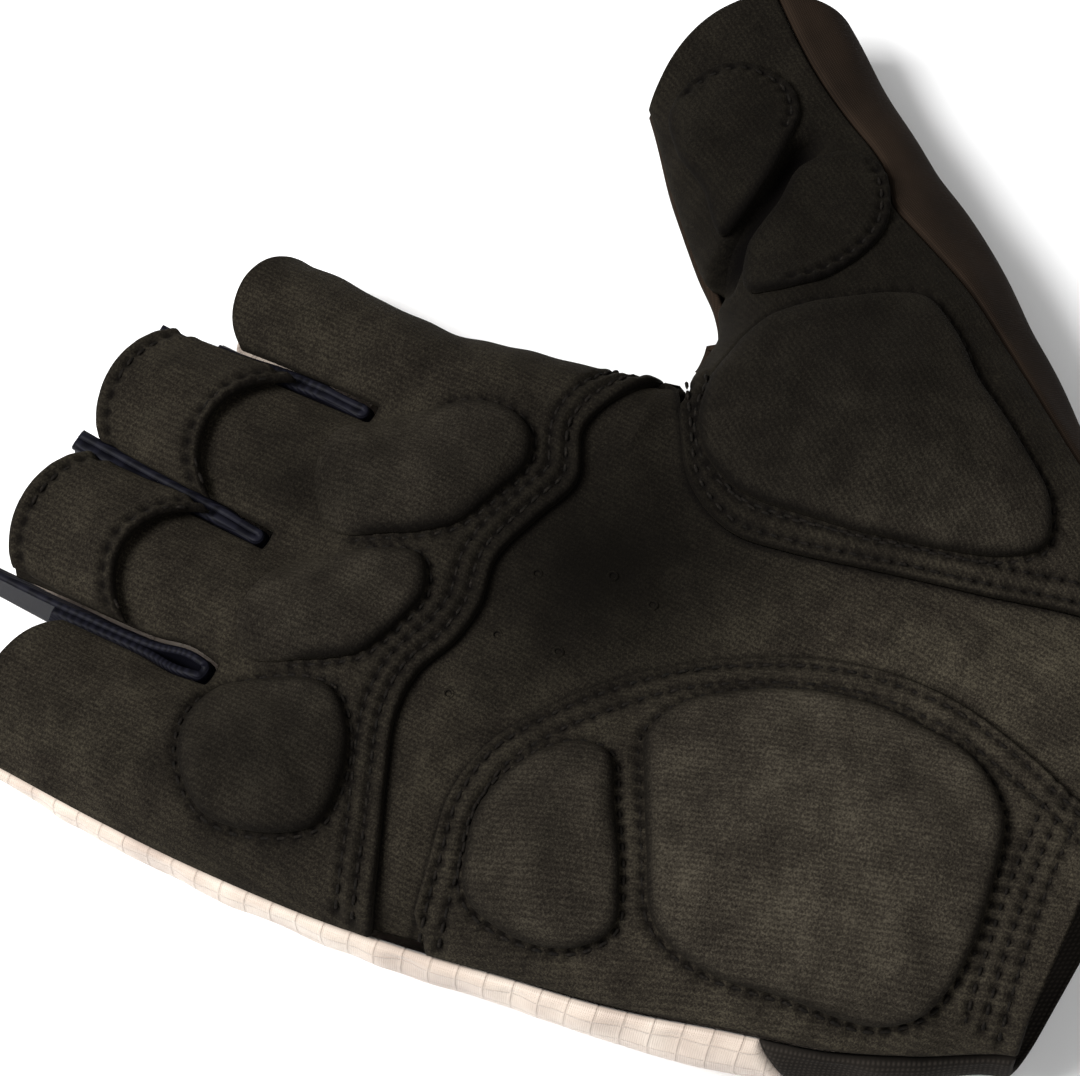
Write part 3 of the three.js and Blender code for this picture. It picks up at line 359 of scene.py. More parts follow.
# %% [markdown]
# Cloth that has been worn and laid down is never quite smooth. Soft undulation comes from a
# few crossing waves of similar length; it is drawn again the same way each time, because the
# random numbers have a fixed seed.

# %% Undulation
def waves(x, y, size, seed, count=9):
    """Even noise with bumps about "size" across: the mean of waves in random directions."""
    rng = np.random.default_rng(seed)
    angle, phase = rng.uniform(0, 2 * np.pi, (2, count))
    reach = 2 * np.pi / (2 * size * rng.uniform(0.7, 1.5, count))
    total = 0
    for a, p, k in zip(angle, phase, reach):
        total = total + np.sin(k * (x * np.cos(a) + y * np.sin(a)) + p)
    return total / math.sqrt(count)


# %% [markdown]
# Eight islands lie on the palm: six foam pads and two doubled patches. Each outline was laid
# through a few points of the photograph, as shares of the hand's width and the glove's length.

# %% Outlines of pads and patches
PADS = {
    "pad_knuckle_index": [(0.345, 0.785), (0.395, 0.776), (0.465, 0.73), (0.52, 0.672), (0.505, 0.632),
                          (0.455, 0.617), (0.385, 0.624), (0.3, 0.642), (0.245, 0.68), (0.212, 0.735),
                          (0.26, 0.77)],
    "pad_knuckle_ring": [(0.09, 0.765), (0.14, 0.75), (0.2, 0.695), (0.225, 0.65), (0.175, 0.63),
                         (0.107, 0.635), (0.035, 0.65), (-0.01, 0.69), (-0.035, 0.74), (0.015, 0.765)],
    "pad_knuckle_little": [(-0.105, 0.744), (-0.06, 0.715), (-0.035, 0.655), (-0.08, 0.623),
                           (-0.16, 0.602), (-0.24, 0.6), (-0.283, 0.632), (-0.3, 0.69),
                           (-0.253, 0.732), (-0.175, 0.752)],
    "pad_thumb_base": [(0.7, 0.515), (0.85, 0.5), (0.94, 0.445), (1.0, 0.393), (0.975, 0.355),
                       (0.91, 0.31), (0.85, 0.255), (0.79, 0.205), (0.72, 0.188), (0.665, 0.215),
                       (0.605, 0.3), (0.575, 0.385), (0.575, 0.45), (0.62, 0.495)],
    "pad_heel_small": [(-0.165, 0.478), (-0.09, 0.487), (0.0, 0.475), (0.065, 0.445), (0.07, 0.415),
                       (0.0, 0.388), (-0.1, 0.352), (-0.165, 0.338), (-0.215, 0.362), (-0.24, 0.42),
                       (-0.225, 0.46)],
    "pad_heel_large": [(0.13, 0.398), (0.2, 0.386), (0.285, 0.335), (0.34, 0.265), (0.355, 0.2),
                       (0.34, 0.14), (0.29, 0.105), (0.19, 0.085), (0.06, 0.072), (-0.03, 0.08),
                       (-0.09, 0.115), (-0.125, 0.19), (-0.15, 0.262), (-0.13, 0.31), (-0.04, 0.345),
                       (0.06, 0.378)],
    "thumb_crotch_patch": [(0.9, 0.528), (0.97, 0.553), (1.06, 0.552), (1.15, 0.552), (1.21, 0.52),
                           (1.2, 0.487), (1.11, 0.456), (1.02, 0.46), (0.94, 0.485)],
    "thumb_tip_patch": [(0.985, 0.582), (1.05, 0.622), (1.11, 0.667), (1.175, 0.694), (1.24, 0.686),
                        (1.29, 0.655), (1.29, 0.612), (1.245, 0.584), (1.16, 0.575), (1.06, 0.574)],
}
PATCHES = ("thumb_crotch_patch", "thumb_tip_patch")


def pad_line(name, samples=361):
    """The closed outline of a pad, evenly spaced, counter-clockwise."""
    loop = through(plan(PADS[name]), np.linspace(0, 1, 6 * samples), closed=True)
    loop = at_length(loop, np.linspace(0, lengths(loop)[-1], samples))
    x, y = loop.T
    clockwise = np.sum(x[:-1] * y[1:] - x[1:] * y[:-1]) < 0
    return loop[::-1] if clockwise else loop


print("outlines:", len(PADS))

# %% [markdown]
# Stitch rows. The palm is sewn with lockstitch, 2.35 millimetres a stitch, in rows beside each
# seam and round each pad. A row pulls the suede down into a groove, so the rows are listed
# before the panels, which read them.

# %% Stitch rows
PITCH = 2.35
FRONT_ROWS, HEEL_ROWS, THUMB_ROWS, CUFF_ROWS = (2.2, 4.6), (1.6, 4.4), (1.6, 4.4), (3.2, 5.7, 8.2)
PAD_ROW, PATCH_ROW = 0.6, 1.3
CUFF_FROM, CUFF_TO = -0.5, 73
ROW_INSETS = (0.9, 1.4)  # how far a row stops short of the lip and of the thumb's side


def span(line, start, end):
    """The stretch of a line between two lengths, a point every half millimetre."""
    return at_length(line, np.arange(start, end, 0.5))


front_length, heel_length, thumb_length = (lengths(line)[-1]
                                           for line in (front_seam, heel_seam, thumb_seam))
cuff_x = np.linspace(CUFF_FROM, CUFF_TO, 150)
cuff_line = np.stack([cuff_x, cuff_y(cuff_x)], 1)


def inside(line):
    """The stretch of a row that lies on the palm side, a little in from both sides."""
    x, y = line.T
    return line[(x > palm_left(y) + ROW_INSETS[0]) & (x < radial_x(y) - ROW_INSETS[1])]


rows = {
    "fingers": [inside(offset(front_seam[:, :2], d)) for d in FRONT_ROWS],
    "heel": [inside(offset(heel_seam[:, :2], -d)) for d in HEEL_ROWS],
    "thumb": [offset(span(thumb_seam, 0, thumb_length - 3), -d) for d in THUMB_ROWS],
    "cuff": [offset(cuff_line, d) for d in CUFF_ROWS],
}
print("points in seam rows:", sum(len(line) for lines in rows.values() for line in lines))

# %% [markdown]
# Two knuckle pads run out softly into the finger, so they are sewn only up to a share of the
# length, and the patches only at their outer ends.

# %% Rows round the pads
SOFT_ENDS = {"pad_knuckle_index": 0.715, "pad_knuckle_ring": 0.7}
PATCH_ENDS = (1.2 * WIDTH, 0.5 * LENGTH)  # the tip patch is sewn past this x, the other below this y


def sewn_stretch(line, keep):
    """The longest unbroken stretch of a closed line where "keep" is true."""
    if keep.all():
        return line
    start = np.flatnonzero(keep & ~np.roll(keep, 1))[0]
    line, keep = np.roll(line[:-1], -start, 0), np.roll(keep[:-1], -start)
    return line[:np.argmin(keep)] if not keep.all() else line


def pad_row(name):
    """The stitch row just outside a pad, or just inside a patch."""
    line = offset(pad_line(name), PATCH_ROW if name in PATCHES else -PAD_ROW)
    x, y = line.T
    if name == "thumb_tip_patch":
        keep = x > PATCH_ENDS[0]
    elif name == "thumb_crotch_patch":
        keep = y < PATCH_ENDS[1]
    else:
        keep = y < SOFT_ENDS.get(name, 2) * LENGTH
    return sewn_stretch(line, keep)


pad_rows = {name: pad_row(name) for name in PADS if name not in PATCHES}
patch_rows = {name: pad_row(name) for name in PATCHES}
print("rows round pads and patches:", len(pad_rows) + len(patch_rows))

# %% [markdown]
# Thread under tension pulls suede down, most where the needle went through, and the suede
# between two holes swells. A bell curve across the row and a wave along it say both. Beside
# the rows and along turned edges the suede is also painted darker: painted shade for the
# grooves and the edges, with the nap pressed flat.

# %% Grooves, pressed nap and painted shade
GROOVE_DEPTH, GROOVE_WIDTH = 0.6, 0.7
PUCKER, PUCKER_AT, PUCKER_WIDTH = 0.22, 1.15, 0.7
# How dark the painted shade is along a turned edge, and how far it and the shade beside a row reach.
EDGE_SHADE_AND_PRESS, EDGE_REACH, ROW_REACH = 0.8, 0.55, 0.75


def grooves(x, y, lines):
    """The dip that stitch rows pull into a panel, deepest where the thread goes through, and
    the pucker that swells beside each stitch."""
    dip, swell = np.zeros(np.shape(x)), np.zeros(np.shape(x))
    for line in lines:
        gap, run, index = nearest(line, x, y)
        hole = np.cos(2 * np.pi * run / PITCH)
        dip = np.minimum(dip, -GROOVE_DEPTH * (0.62 + 0.38 * hole) * np.exp(-(gap / GROOVE_WIDTH) ** 2))
        swell = np.maximum(swell, PUCKER * (1 - hole) / 2
                           * np.exp(-((gap - PUCKER_AT) / PUCKER_WIDTH) ** 2))
    return dip + swell


def pressed_and_shade_by(x, y, lines, edge):
    """How dark the suede is painted beside stitches and along a turned edge: the shade in the grooves and
    under the edges, with the nap pressed flat.
    """
    flat = EDGE_SHADE_AND_PRESS * np.exp(-(edge / EDGE_REACH) ** 2)
    for line in lines:
        gap, run, index = nearest(line, x, y)
        hole = np.cos(2 * np.pi * run / PITCH)
        flat = np.maximum(flat, (0.65 + 0.35 * hole) * np.exp(-(gap / ROW_REACH) ** 2))
    return flat


print("groove depth:", GROOVE_DEPTH, "mm")

# %% [markdown]
# Between its two patches the thumb is folded at the joint. The fold is a narrow, deep dip with
# flat walls, which the fourth power of the distance gives, and it dies out at both ends.

# %% Fold across the thumb
FOLD_DEPTH, FOLD_HALF = 4.4, 1.8
thumb_fold = through(plan([(0.885, 0.56), (0.96, 0.567), (1.07, 0.5635), (1.17, 0.5635), (1.24, 0.55)]),
                     np.linspace(0, 1, 61))


def fold(x, y):
    """0 away from the thumb's fold, 1 in its middle; it dies out towards its ends."""
    gap, run, index = nearest(thumb_fold, x, y)
    share = index / (len(thumb_fold) - 1)
    return np.exp(-(gap / FOLD_HALF) ** 4) * smooth(share * 5) * smooth((1 - share) * 4)


print("fold length:", round(lengths(thumb_fold)[-1], 1), "mm")

# %% [markdown]
# Suede looks lighter or darker with the way its nap lies; here the light and shade that fall
# on it are painted into the same tone. It is painted lightest on the heel, where light falls,
# and darkest on the thumb, in the hollow beside the knuckles and in creases on the middle
# finger, where shade falls. Each spot of the table adds its tone in a soft bell round its middle.

# %% Nap, with painted light and shade
# A spot of painted light and shade, with the nap's lie: x, y and reach, as shares of the width, the length
# and the width; the tone it adds.
LIGHT_AND_NAP_SPOTS = [(0.13, 0.22, 0.45, 0.5), (0.5, 0.12, 0.35, 0.45), (-0.25, 0.88, 0.3, 0.1),
             (0.33, 0.5, 0.24, -0.5), (0.75, 0.34, 0.4, -0.3), (1.15, 0.6, 0.45, -0.32),
             (-0.2, 0.67, 0.16, -0.3), (-0.1, 0.4, 0.15, -0.1), (0.27, 0.81, 0.07, -0.25),
             (0.25, 0.75, 0.06, -0.2)]


def light_and_nap_tone(x, y):
    """How light the suede is painted, 0 to 1: the light and shade that fall on it, with the nap's lie."""
    tone = 0.5
    for sx, sy, reach, add in LIGHT_AND_NAP_SPOTS:
        gap = np.hypot(x - sx * WIDTH, y - sy * LENGTH) / (reach * WIDTH)
        tone = tone + add * np.exp(-gap ** 2)
    return np.clip(tone, 0, 1)


print("nap, heel and hollow:", light_and_nap_tone(0.1 * WIDTH, 0.2 * LENGTH), light_and_nap_tone(0.35 * WIDTH, 0.5 * LENGTH))

# %% [markdown]
# Every finish is made of nodes. One function turns an sRGB colour code to the linear values
# that the shader wants, and one adds a node with its settings and links.

# %% Node helpers
def linear(code):
    """sRGB hex to linear red, green, blue and alpha."""
    c = np.array([int(code[i:i + 2], 16) for i in (1, 3, 5)]) / 255
    return (*np.where(c <= 0.04045, c / 12.92, ((c + 0.055) / 1.055) ** 2.4), 1.0)


def node(tree, kind, inputs=None, **settings):
    """Adds a node; an input is a value or another node's output socket."""
    made = tree.nodes.new(kind)
    for key, value in settings.items():
        setattr(made, key, value)
    for key, value in (inputs or {}).items():
        if isinstance(value, bpy.types.NodeSocket):
            tree.links.new(value, made.inputs[key])
        else:
            made.inputs[key].default_value = value
    return made


def mixed(tree, share, a, b):
    """A blend of two values, or of two colours, by a share."""
    colours = isinstance(b, tuple) or "Color" in b.bl_idname
    made = node(tree, "ShaderNodeMix", data_type="RGBA" if colours else "FLOAT")
    for place, value in zip((0, 6, 7) if colours else (0, 2, 3), (share, a, b)):
        if isinstance(value, bpy.types.NodeSocket):
            tree.links.new(value, made.inputs[place])
        else:
            made.inputs[place].default_value = value
    return made.outputs[2 if colours else 0]


def ramp(tree, fac, stops):
    """A colour ramp over a factor: stops are pairs of place and colour code."""
    made = node(tree, "ShaderNodeValToRGB", {"Fac": fac})
    made.color_ramp.elements[0].position = stops[0][0]
    made.color_ramp.elements[1].position = stops[-1][0]
    for place, code in stops[1:-1]:
        made.color_ramp.elements.new(place)
    for element, (place, code) in zip(made.color_ramp.elements, stops):
        element.color = linear(code)
    return made.outputs["Color"]


def finish_of(name, **shader):
    """A new material and its shader node, with values that are the same all over."""
    material = bpy.data.materials.new(name)
    material.use_nodes = True
    bsdf = material.node_tree.nodes["Principled BSDF"]
    for key, value in shader.items():
        bsdf.inputs[key.replace("_", " ")].default_value = value
    return material, material.node_tree, bsdf


def wave_scale(pitch):
    """Scale of a Wave Texture in bands whose lines lie "pitch" apart: its sine runs through
    one turn every 2 pi / 20 units."""
    return 2 * math.pi / 20 / pitch


# %% [markdown]
# The palm is synthetic suede: a knit of very fine fibres, brushed on one side. It shows fine
# ribs along the cut, a matt nap, and cloudy patches where the nap lies another way. The real
# ribs are half a millimetre apart; they are drawn 0.8 apart, which the camera can still show.
# The UV map holds plan millimetres turned to each panel's grain, so the ribs follow its cut.
# An index of refraction near 1.1 takes away the grey rim that smooth plastic would have.

# %% Synthetic suede
RIB_PITCH, RIB_DEPTH, RIB_SHARE = 0.8, 0.018, 0.07
NAP_GRAIN, NAP_DEPTH = 0.3, 0.16
CLOUD, CLOUD_SHARE = 7.0, 0.3
# The first two colours are painted shade: the first where the tone is low, with the nap's lie; the second
# beside stitches, edges, folds and holes, with pressed nap.
SHADE_AND_NAP_DARK, SHADE_AND_PRESSED_DARK, SHEEN = "#050403", "#040303", "#8c8068"


def suede(name, dark, base, light):
    """Brushed synthetic suede: faint ribs, a speckled nap and clouds."""
    material, tree, bsdf = finish_of(name, Roughness=0.95, Sheen_Weight=0.04, Sheen_Roughness=0.5,
                                     IOR=1.12)
    bsdf.inputs["Sheen Tint"].default_value = linear(SHEEN)
    uv = node(tree, "ShaderNodeUVMap", uv_map="grain").outputs["UV"]
    place = node(tree, "ShaderNodeTexCoord").outputs["Object"]
    ribs = node(tree, "ShaderNodeTexWave", {"Vector": uv, "Scale": wave_scale(RIB_PITCH),
                "Distortion": 2.6, "Detail": 2.0, "Detail Scale": 1.5}).outputs["Fac"]
    nap = node(tree, "ShaderNodeTexNoise", {"Vector": place, "Scale": 1 / (NAP_GRAIN * MM),
               "Detail": 3.0, "Roughness": 0.75}).outputs["Fac"]
    cloud = node(tree, "ShaderNodeTexNoise", {"Vector": place, "Scale": 1 / (CLOUD * MM),
                 "Detail": 5.0, "Roughness": 0.65}).outputs["Fac"]
    grain = mixed(tree, RIB_SHARE, nap, ribs)
    napped = ramp(tree, mixed(tree, CLOUD_SHARE, grain, cloud), [(0.36, dark), (0.5, base), (0.64, light)])
    # Two attributes paint light and shade into the colour: the tone, with the nap's lie, and the shade
    # beside stitches, edges, folds and holes, with pressed nap.
    tone = node(tree, "ShaderNodeAttribute", attribute_name="nap").outputs["Fac"]
    pressed_and_shade = node(tree, "ShaderNodeAttribute", attribute_name="pressed_and_shade").outputs["Fac"]
    lit = mixed(tree, tone, linear(SHADE_AND_NAP_DARK), napped)
    tree.links.new(mixed(tree, pressed_and_shade, lit, linear(SHADE_AND_PRESSED_DARK)), bsdf.inputs["Base Color"])
    low = node(tree, "ShaderNodeBump", {"Height": ribs, "Distance": RIB_DEPTH * MM, "Strength": 1.0})
    high = node(tree, "ShaderNodeBump", {"Height": nap, "Distance": NAP_DEPTH * MM, "Strength": 1.0,
                "Normal": low.outputs["Normal"]})
    tree.links.new(high.outputs["Normal"], bsdf.inputs["Normal"])
    return material


suede_look = suede("synthetic_suede", "#13100d", "#28241e", "#433e33")
# The pads' suede is the same suede painted a little lighter, for the light on their raised crowns.
lit_pad_look = suede("synthetic_suede_lit_over_foam", "#15120f", "#2a2620", "#454036")
print("suedes:", suede_look.name, lit_pad_look.name)

# %% [markdown]
# The back is ripstop nylon: a light plain weave with a thicker thread every few millimetres,
# which draws small squares. The real threads are about a quarter of a millimetre apart; they
# are drawn at 0.3. The cloth is off-white, a little stained, and dull.

# %% Ripstop
THREAD_PITCH, SQUARE, STAIN, GRID_SHARE = 0.3, 3.9, 9, 0.35


def ripstop():
    """Off-white plain weave with a grid of thicker threads."""
    material, tree, bsdf = finish_of("ripstop_nylon", Roughness=0.6, Sheen_Weight=0.15)
    uv = node(tree, "ShaderNodeUVMap", uv_map="grain").outputs["UV"]
    place = node(tree, "ShaderNodeTexCoord").outputs["Object"]
    heights = []
    for direction in ("X", "Y"):
        thread = node(tree, "ShaderNodeTexWave", {"Vector": uv, "Scale": wave_scale(THREAD_PITCH),
                      "Distortion": 0.6}, bands_direction=direction).outputs["Fac"]
        cord = node(tree, "ShaderNodeTexWave", {"Vector": uv, "Scale": wave_scale(SQUARE),
                    "Distortion": 0.25, "Detail Scale": 4.0}, bands_direction=direction).outputs["Fac"]
        line = node(tree, "ShaderNodeMath", {0: cord, 1: 40.0}, operation="POWER").outputs[0]
        heights += [thread, line]
    weave = node(tree, "ShaderNodeMath", {0: heights[0], 1: heights[2]}, operation="MULTIPLY").outputs[0]
    grid = node(tree, "ShaderNodeMath", {0: heights[1], 1: heights[3]}, operation="MAXIMUM").outputs[0]
    stain = node(tree, "ShaderNodeTexNoise", {"Vector": place, "Scale": 1 / (STAIN * MM),
                 "Detail": 5.0}).outputs["Fac"]
    ground = ramp(tree, stain, [(0.35, "#a39387"), (0.5, "#b3a497"), (0.65, "#beb1a4")])
    faint = node(tree, "ShaderNodeMath", {0: grid, 1: GRID_SHARE}, operation="MULTIPLY").outputs[0]
    tree.links.new(mixed(tree, faint, ground, linear("#8b7c70")), bsdf.inputs["Base Color"])
    fine = node(tree, "ShaderNodeBump", {"Height": weave, "Distance": 0.06 * MM, "Strength": 0.8})
    bold = node(tree, "ShaderNodeBump", {"Height": grid, "Distance": 0.12 * MM, "Strength": 0.8,
                "Normal": fine.outputs["Normal"]})
    tree.links.new(bold.outputs["Normal"], bsdf.inputs["Normal"])
    return material


ripstop_look = ripstop()
print("squares of the ripstop:", SQUARE, "mm")

# %% [markdown]
# Stretch knit covers the thumb's back and the wrist: columns of loops, the wales, crossed by
# courses. It is polyester with elastane, matt and dark. The thumb's wales are drawn 0.4
# millimetres apart and the wrist's 0.8, both a little coarser than the cloth.

# %% Stretch knit
def knit(name, dark, light, wale, roughness):
    """Stretch knit: columns of loops one wale apart, crossed by courses a little closer."""
    material, tree, bsdf = finish_of(name, Roughness=roughness, IOR=1.12)
    uv = node(tree, "ShaderNodeUVMap", uv_map="grain").outputs["UV"]
    place = node(tree, "ShaderNodeTexCoord").outputs["Object"]
    wales = node(tree, "ShaderNodeTexWave", {"Vector": uv, "Scale": wave_scale(wale),
                 "Distortion": 0.8}).outputs["Fac"]
    courses = node(tree, "ShaderNodeTexWave", {"Vector": uv, "Scale": wave_scale(0.75 * wale),
                   "Distortion": 1.0}, bands_direction="Y").outputs["Fac"]
    loops = node(tree, "ShaderNodeMath", {0: wales, 1: courses}, operation="MULTIPLY").outputs[0]
    cloud = node(tree, "ShaderNodeTexNoise", {"Vector": place, "Scale": 1 / (12 * MM),
                 "Detail": 4.0}).outputs["Fac"]
    shade = mixed(tree, 0.6, loops, cloud)
    tree.links.new(ramp(tree, shade, [(0.2, dark), (0.75, light)]), bsdf.inputs["Base Color"])
    bump = node(tree, "ShaderNodeBump", {"Height": loops, "Distance": 0.06 * MM, "Strength": 0.8})
    tree.links.new(bump.outputs["Normal"], bsdf.inputs["Normal"])
    return material


stretch_look = knit("stretch_knit_brown", "#15100c", "#2e241c", 0.4, 0.9)
wrist_look = knit("wrist_knit_black", "#12100e", "#2c2824", 0.8, 0.9)
print("knits:", stretch_look.name, wrist_look.name)

# %% [markdown]
# The gussets are dark navy satin. In satin weave each thread floats over several others, so
# the floats lie side by side and carry a soft shine along them. Real floats are a tenth of a
# millimetre wide; they are drawn 0.3 apart.

# %% Satin
FLOAT_PITCH = 0.3


def satin():
    """Navy satin: long floats lie side by side, so it shines along them."""
    material, tree, bsdf = finish_of("polyester_satin", Roughness=0.5, IOR=1.13)
    uv = node(tree, "ShaderNodeUVMap", uv_map="grain").outputs["UV"]
    floats = node(tree, "ShaderNodeTexWave", {"Vector": uv, "Scale": wave_scale(FLOAT_PITCH),
                  "Distortion": 2.0, "Detail": 2.0}).outputs["Fac"]
    tree.links.new(ramp(tree, floats, [(0.1, "#09090e"), (0.9, "#121219")]), bsdf.inputs["Base Color"])
    bump = node(tree, "ShaderNodeBump", {"Height": floats, "Distance": 0.04 * MM, "Strength": 0.7})
    tree.links.new(bump.outputs["Normal"], bsdf.inputs["Normal"])
    return material


satin_look = satin()
print("floats of the satin:", FLOAT_PITCH, "mm")

# %% [markdown]
# Sewing thread is polyester, twisted from plies, dyed nearly black. Fine noise stands for the
# plies.

# %% Sewing thread
PLY = 0.35


def sewing_thread():
    """Twisted polyester thread: slanted plies, a little shinier than the suede."""
    material, tree, bsdf = finish_of("polyester_thread", Roughness=0.8, IOR=1.15)
    place = node(tree, "ShaderNodeTexCoord").outputs["Object"]
    ply = node(tree, "ShaderNodeTexNoise", {"Vector": place, "Scale": 1 / (PLY * MM),
               "Detail": 2.0}).outputs["Fac"]
    tree.links.new(ramp(tree, ply, [(0.35, "#0b0a08"), (0.6, "#15120f"), (0.8, "#26221c")]),
                   bsdf.inputs["Base Color"])
    return material


thread_look = sewing_thread()
print("materials:", len(bpy.data.materials))

# %% [markdown]
# Two small formulas serve every panel. An edge that is folded under and sewn rolls down like a
# quarter of a circle, and the pattern of the cloth is turned to the way the panel was cut.

# %% Rolled edges and grain
def rolled(edge, radius, drop):
    """How far the outer skin falls near an edge: a quarter circle of the given radius."""
    return -drop * (1 - np.sqrt(1 - np.clip(1 - edge / radius, 0, 1) ** 2))


def turned(x, y, degrees):
    """Plan millimetres turned so that v runs along the grain."""
    a = math.radians(90 - degrees)
    return np.stack([x * math.cos(a) - y * math.sin(a), x * math.sin(a) + y * math.cos(a)], -1)


FINGER_GRAIN, HEEL_GRAIN, THUMB_GRAIN = 90, 111, 58  # degrees from across the hand
print("a rolled edge falls", rolled(0, 0.8, 0.7), "mm at its rim")

# %% [markdown]
# Every new piece becomes a mesh in the same way. It keeps its millimetres until the last
# moment, carries a UV map and two values for each point, and rides on the glove's one body.

# %% Mesh pieces
def mesh_piece(name, points, faces, uv, look, node_name=None, pressed_and_shade=None):
    """A mesh object from millimetre points, quads and a UV per point; it rides on the glove.
    The last argument says, from 0 to 1, how dark the suede is painted at each point: shade beside stitches,
    edges, folds and holes, with pressed nap."""
    name = name + "_sewn" if node_name else name
    mesh = bpy.data.meshes.new(name)
    mesh.from_pydata(((points - ORIGIN) * MM).tolist(), [], faces.tolist())
    mesh.update()
    corner = np.empty(len(mesh.loops), np.int32)
    mesh.loops.foreach_get("vertex_index", corner)
    mesh.uv_layers.new(name="grain").data.foreach_set("uv", uv[corner].astype(np.float32).ravel())
    pressed_and_shade = np.zeros(len(points)) if pressed_and_shade is None else np.clip(pressed_and_shade, 0, 1)
    # Both values paint the suede's colour: shade beside stitches, edges, folds and holes, and light and
    # shade over the palm with the nap's lie.
    for layer, values in (("pressed_and_shade", pressed_and_shade), ("nap", light_and_nap_tone(points[:, 0], points[:, 1]))):
        shade = mesh.attributes.new(layer, "FLOAT", "POINT")
        shade.data.foreach_set("value", values.astype(np.float32))
    mesh.shade_smooth()
    mesh.materials.append(look)
    piece = bpy.data.objects.new(name, mesh)
    bpy.context.scene.collection.objects.link(piece)
    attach(piece, "root")
    if node_name:
        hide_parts(node_name)
    print(name, "faces:", len(faces))
    return piece


# %% [markdown]
# One builder makes every cloth panel. Its sheet is a grid of points; the outer skin stands on
# it, with the undulation and grooves of the piece, and the inner skin lies a wall's thickness
# below. The skins are joined round every edge, so that the panel is a closed solid.

# %% Skins
UP, DOWN, CUFFWARD = (0, 0, 1), (0, 0, -1), (0, -1, 0)
EDGE_FOLLOW = 0.3  # share of the outer skin's dips that the inner skin follows


def normals_of(sheet, facing):
    """Unit normals of a grid of points, turned to look the way of "facing": each of them on
    the palm side, which nowhere hangs over, or most of them where a sheet wraps round."""
    n = np.cross(np.gradient(sheet, axis=1), np.gradient(sheet, axis=0))
    n /= np.maximum(np.linalg.norm(n, axis=2, keepdims=True), 1e-9)
    side_of = n @ np.asarray(facing, float)
    return n * (np.sign(side_of)[..., None] if facing == UP else np.sign(side_of.sum()))


def skins(sheet, cells, facing, out, inn):
    """Points, quads, the grid point behind each of them and the area of a closed wall: one skin
    "out" and one "inn" from the sheet along its normals, and a strip round each edge."""
    normal = normals_of(sheet, facing)
    height, width = sheet.shape[:2]
    points = np.concatenate([(sheet + normal * k[..., None]).reshape(-1, 3) for k in (out, inn)])
    under = height * width
    index = np.arange(under).reshape(height, width)
    a, b, c, d = index[:-1, :-1], index[:-1, 1:], index[1:, 1:], index[1:, :-1]
    quads = np.stack([a, b, c, d], -1)[cells]
    pad = np.pad(cells, 1)
    edges = []
    for start, end, neighbour in ((a, b, pad[:-2, 1:-1]), (b, c, pad[1:-1, 2:]),
                                  (c, d, pad[2:, 1:-1]), (d, a, pad[1:-1, :-2])):
        free = cells & ~neighbour
        edges.append(np.stack([start[free], end[free]], 1))
    edges = np.concatenate(edges)
    strip = np.stack([edges[:, 1], edges[:, 0], edges[:, 0] + under, edges[:, 1] + under], 1)
    faces = np.concatenate([quads, quads[:, ::-1] + under, strip])
    if facing == UP:
        plan_view = sheet[..., :2]
        crossed = np.cross(plan_view[1:, 1:] - plan_view[:-1, :-1],
                           plan_view[1:, :-1] - plan_view[:-1, 1:])[cells]
        print("cells that fold over:", min((crossed > 0).sum(), (crossed < 0).sum()))
    at = sheet.reshape(-1, 3)[quads]
    cross = np.cross(at[:, 2] - at[:, 0], at[:, 3] - at[:, 1])
    if (cross * normal.reshape(-1, 3)[quads[:, 0]]).sum() < 0:
        faces = faces[:, ::-1]
    used = np.unique(faces)
    return points[used], np.searchsorted(used, faces), used % under, np.linalg.norm(cross, axis=1).sum() / 2


def cloth(name, sheet, look, uv, out, inn, facing=UP, cells=None, pressed_and_shade=None):
    """A closed wall of cloth in place of the node of its name, and the area of its sheet."""
    cells = np.ones(np.array(sheet.shape[:2]) - 1, bool) if cells is None else cells
    points, faces, source, area = skins(sheet, cells, facing, out, inn)
    pressed_and_shade = None if pressed_and_shade is None else pressed_and_shade.ravel()[source]
    piece = mesh_piece(name, points, faces, uv.reshape(-1, 2)[source], look, name, pressed_and_shade)
    return piece, area


def panel(name, sheet, look, uv, out, thickness=SUEDE, facing=UP, cells=None, pressed_and_shade=None):
    """A cloth panel: its inner skin lies a thickness below the outer skin and follows a share of the outer
    skin's dips.
    """
    inn = np.minimum(out, 0) * EDGE_FOLLOW - thickness
    piece, area = cloth(name, sheet, look, uv, out, inn, facing, cells, pressed_and_shade)


# %% [markdown]
# Edges and waves. A point's distance to the nearest edge is measured along the sheet, since it
# decides where the cloth rolls. Worn suede undulates, and pads and stitches ride on the same
# waves as the panel below them.

# %% Edges and waves
def near_edge(sheet):
    """Distance from each point of a grid to the nearest of its four edges, along the sheet."""
    return np.min([arc_from(sheet, axis, end) for axis in (0, 1) for end in (False, True)], 0)


def arc_from(sheet, axis, end=False):
    """Length along a grid's rows or columns, from their start or end."""
    step = np.linalg.norm(np.diff(sheet, axis=axis), axis=2)
    run = np.concatenate([np.zeros_like(step.take([0], axis)), np.cumsum(step, axis)], axis)
    return run.take([-1], axis) - run if end else run


def undulation(x, y):
    """Soft waves of the worn suede, shared by the panels and what is sewn on them."""
    return 0.22 * waves(x, y, 9, 3) + 0.12 * waves(x, y, 3.5, 4)


def waved(x, y, edge):
    """The undulation, faded in from a panel's edge."""
    return undulation(x, y) * smooth(edge / 4)


print("undulation at the origin:", round(float(undulation(0, 0)), 2), "mm")

# %% [markdown]
# Between two fingers the panel is slit down to the crotch, where the gusset shows. Beside the
# little finger the slot gapes. Each finger's hem is bowed, and its corners are rounded.

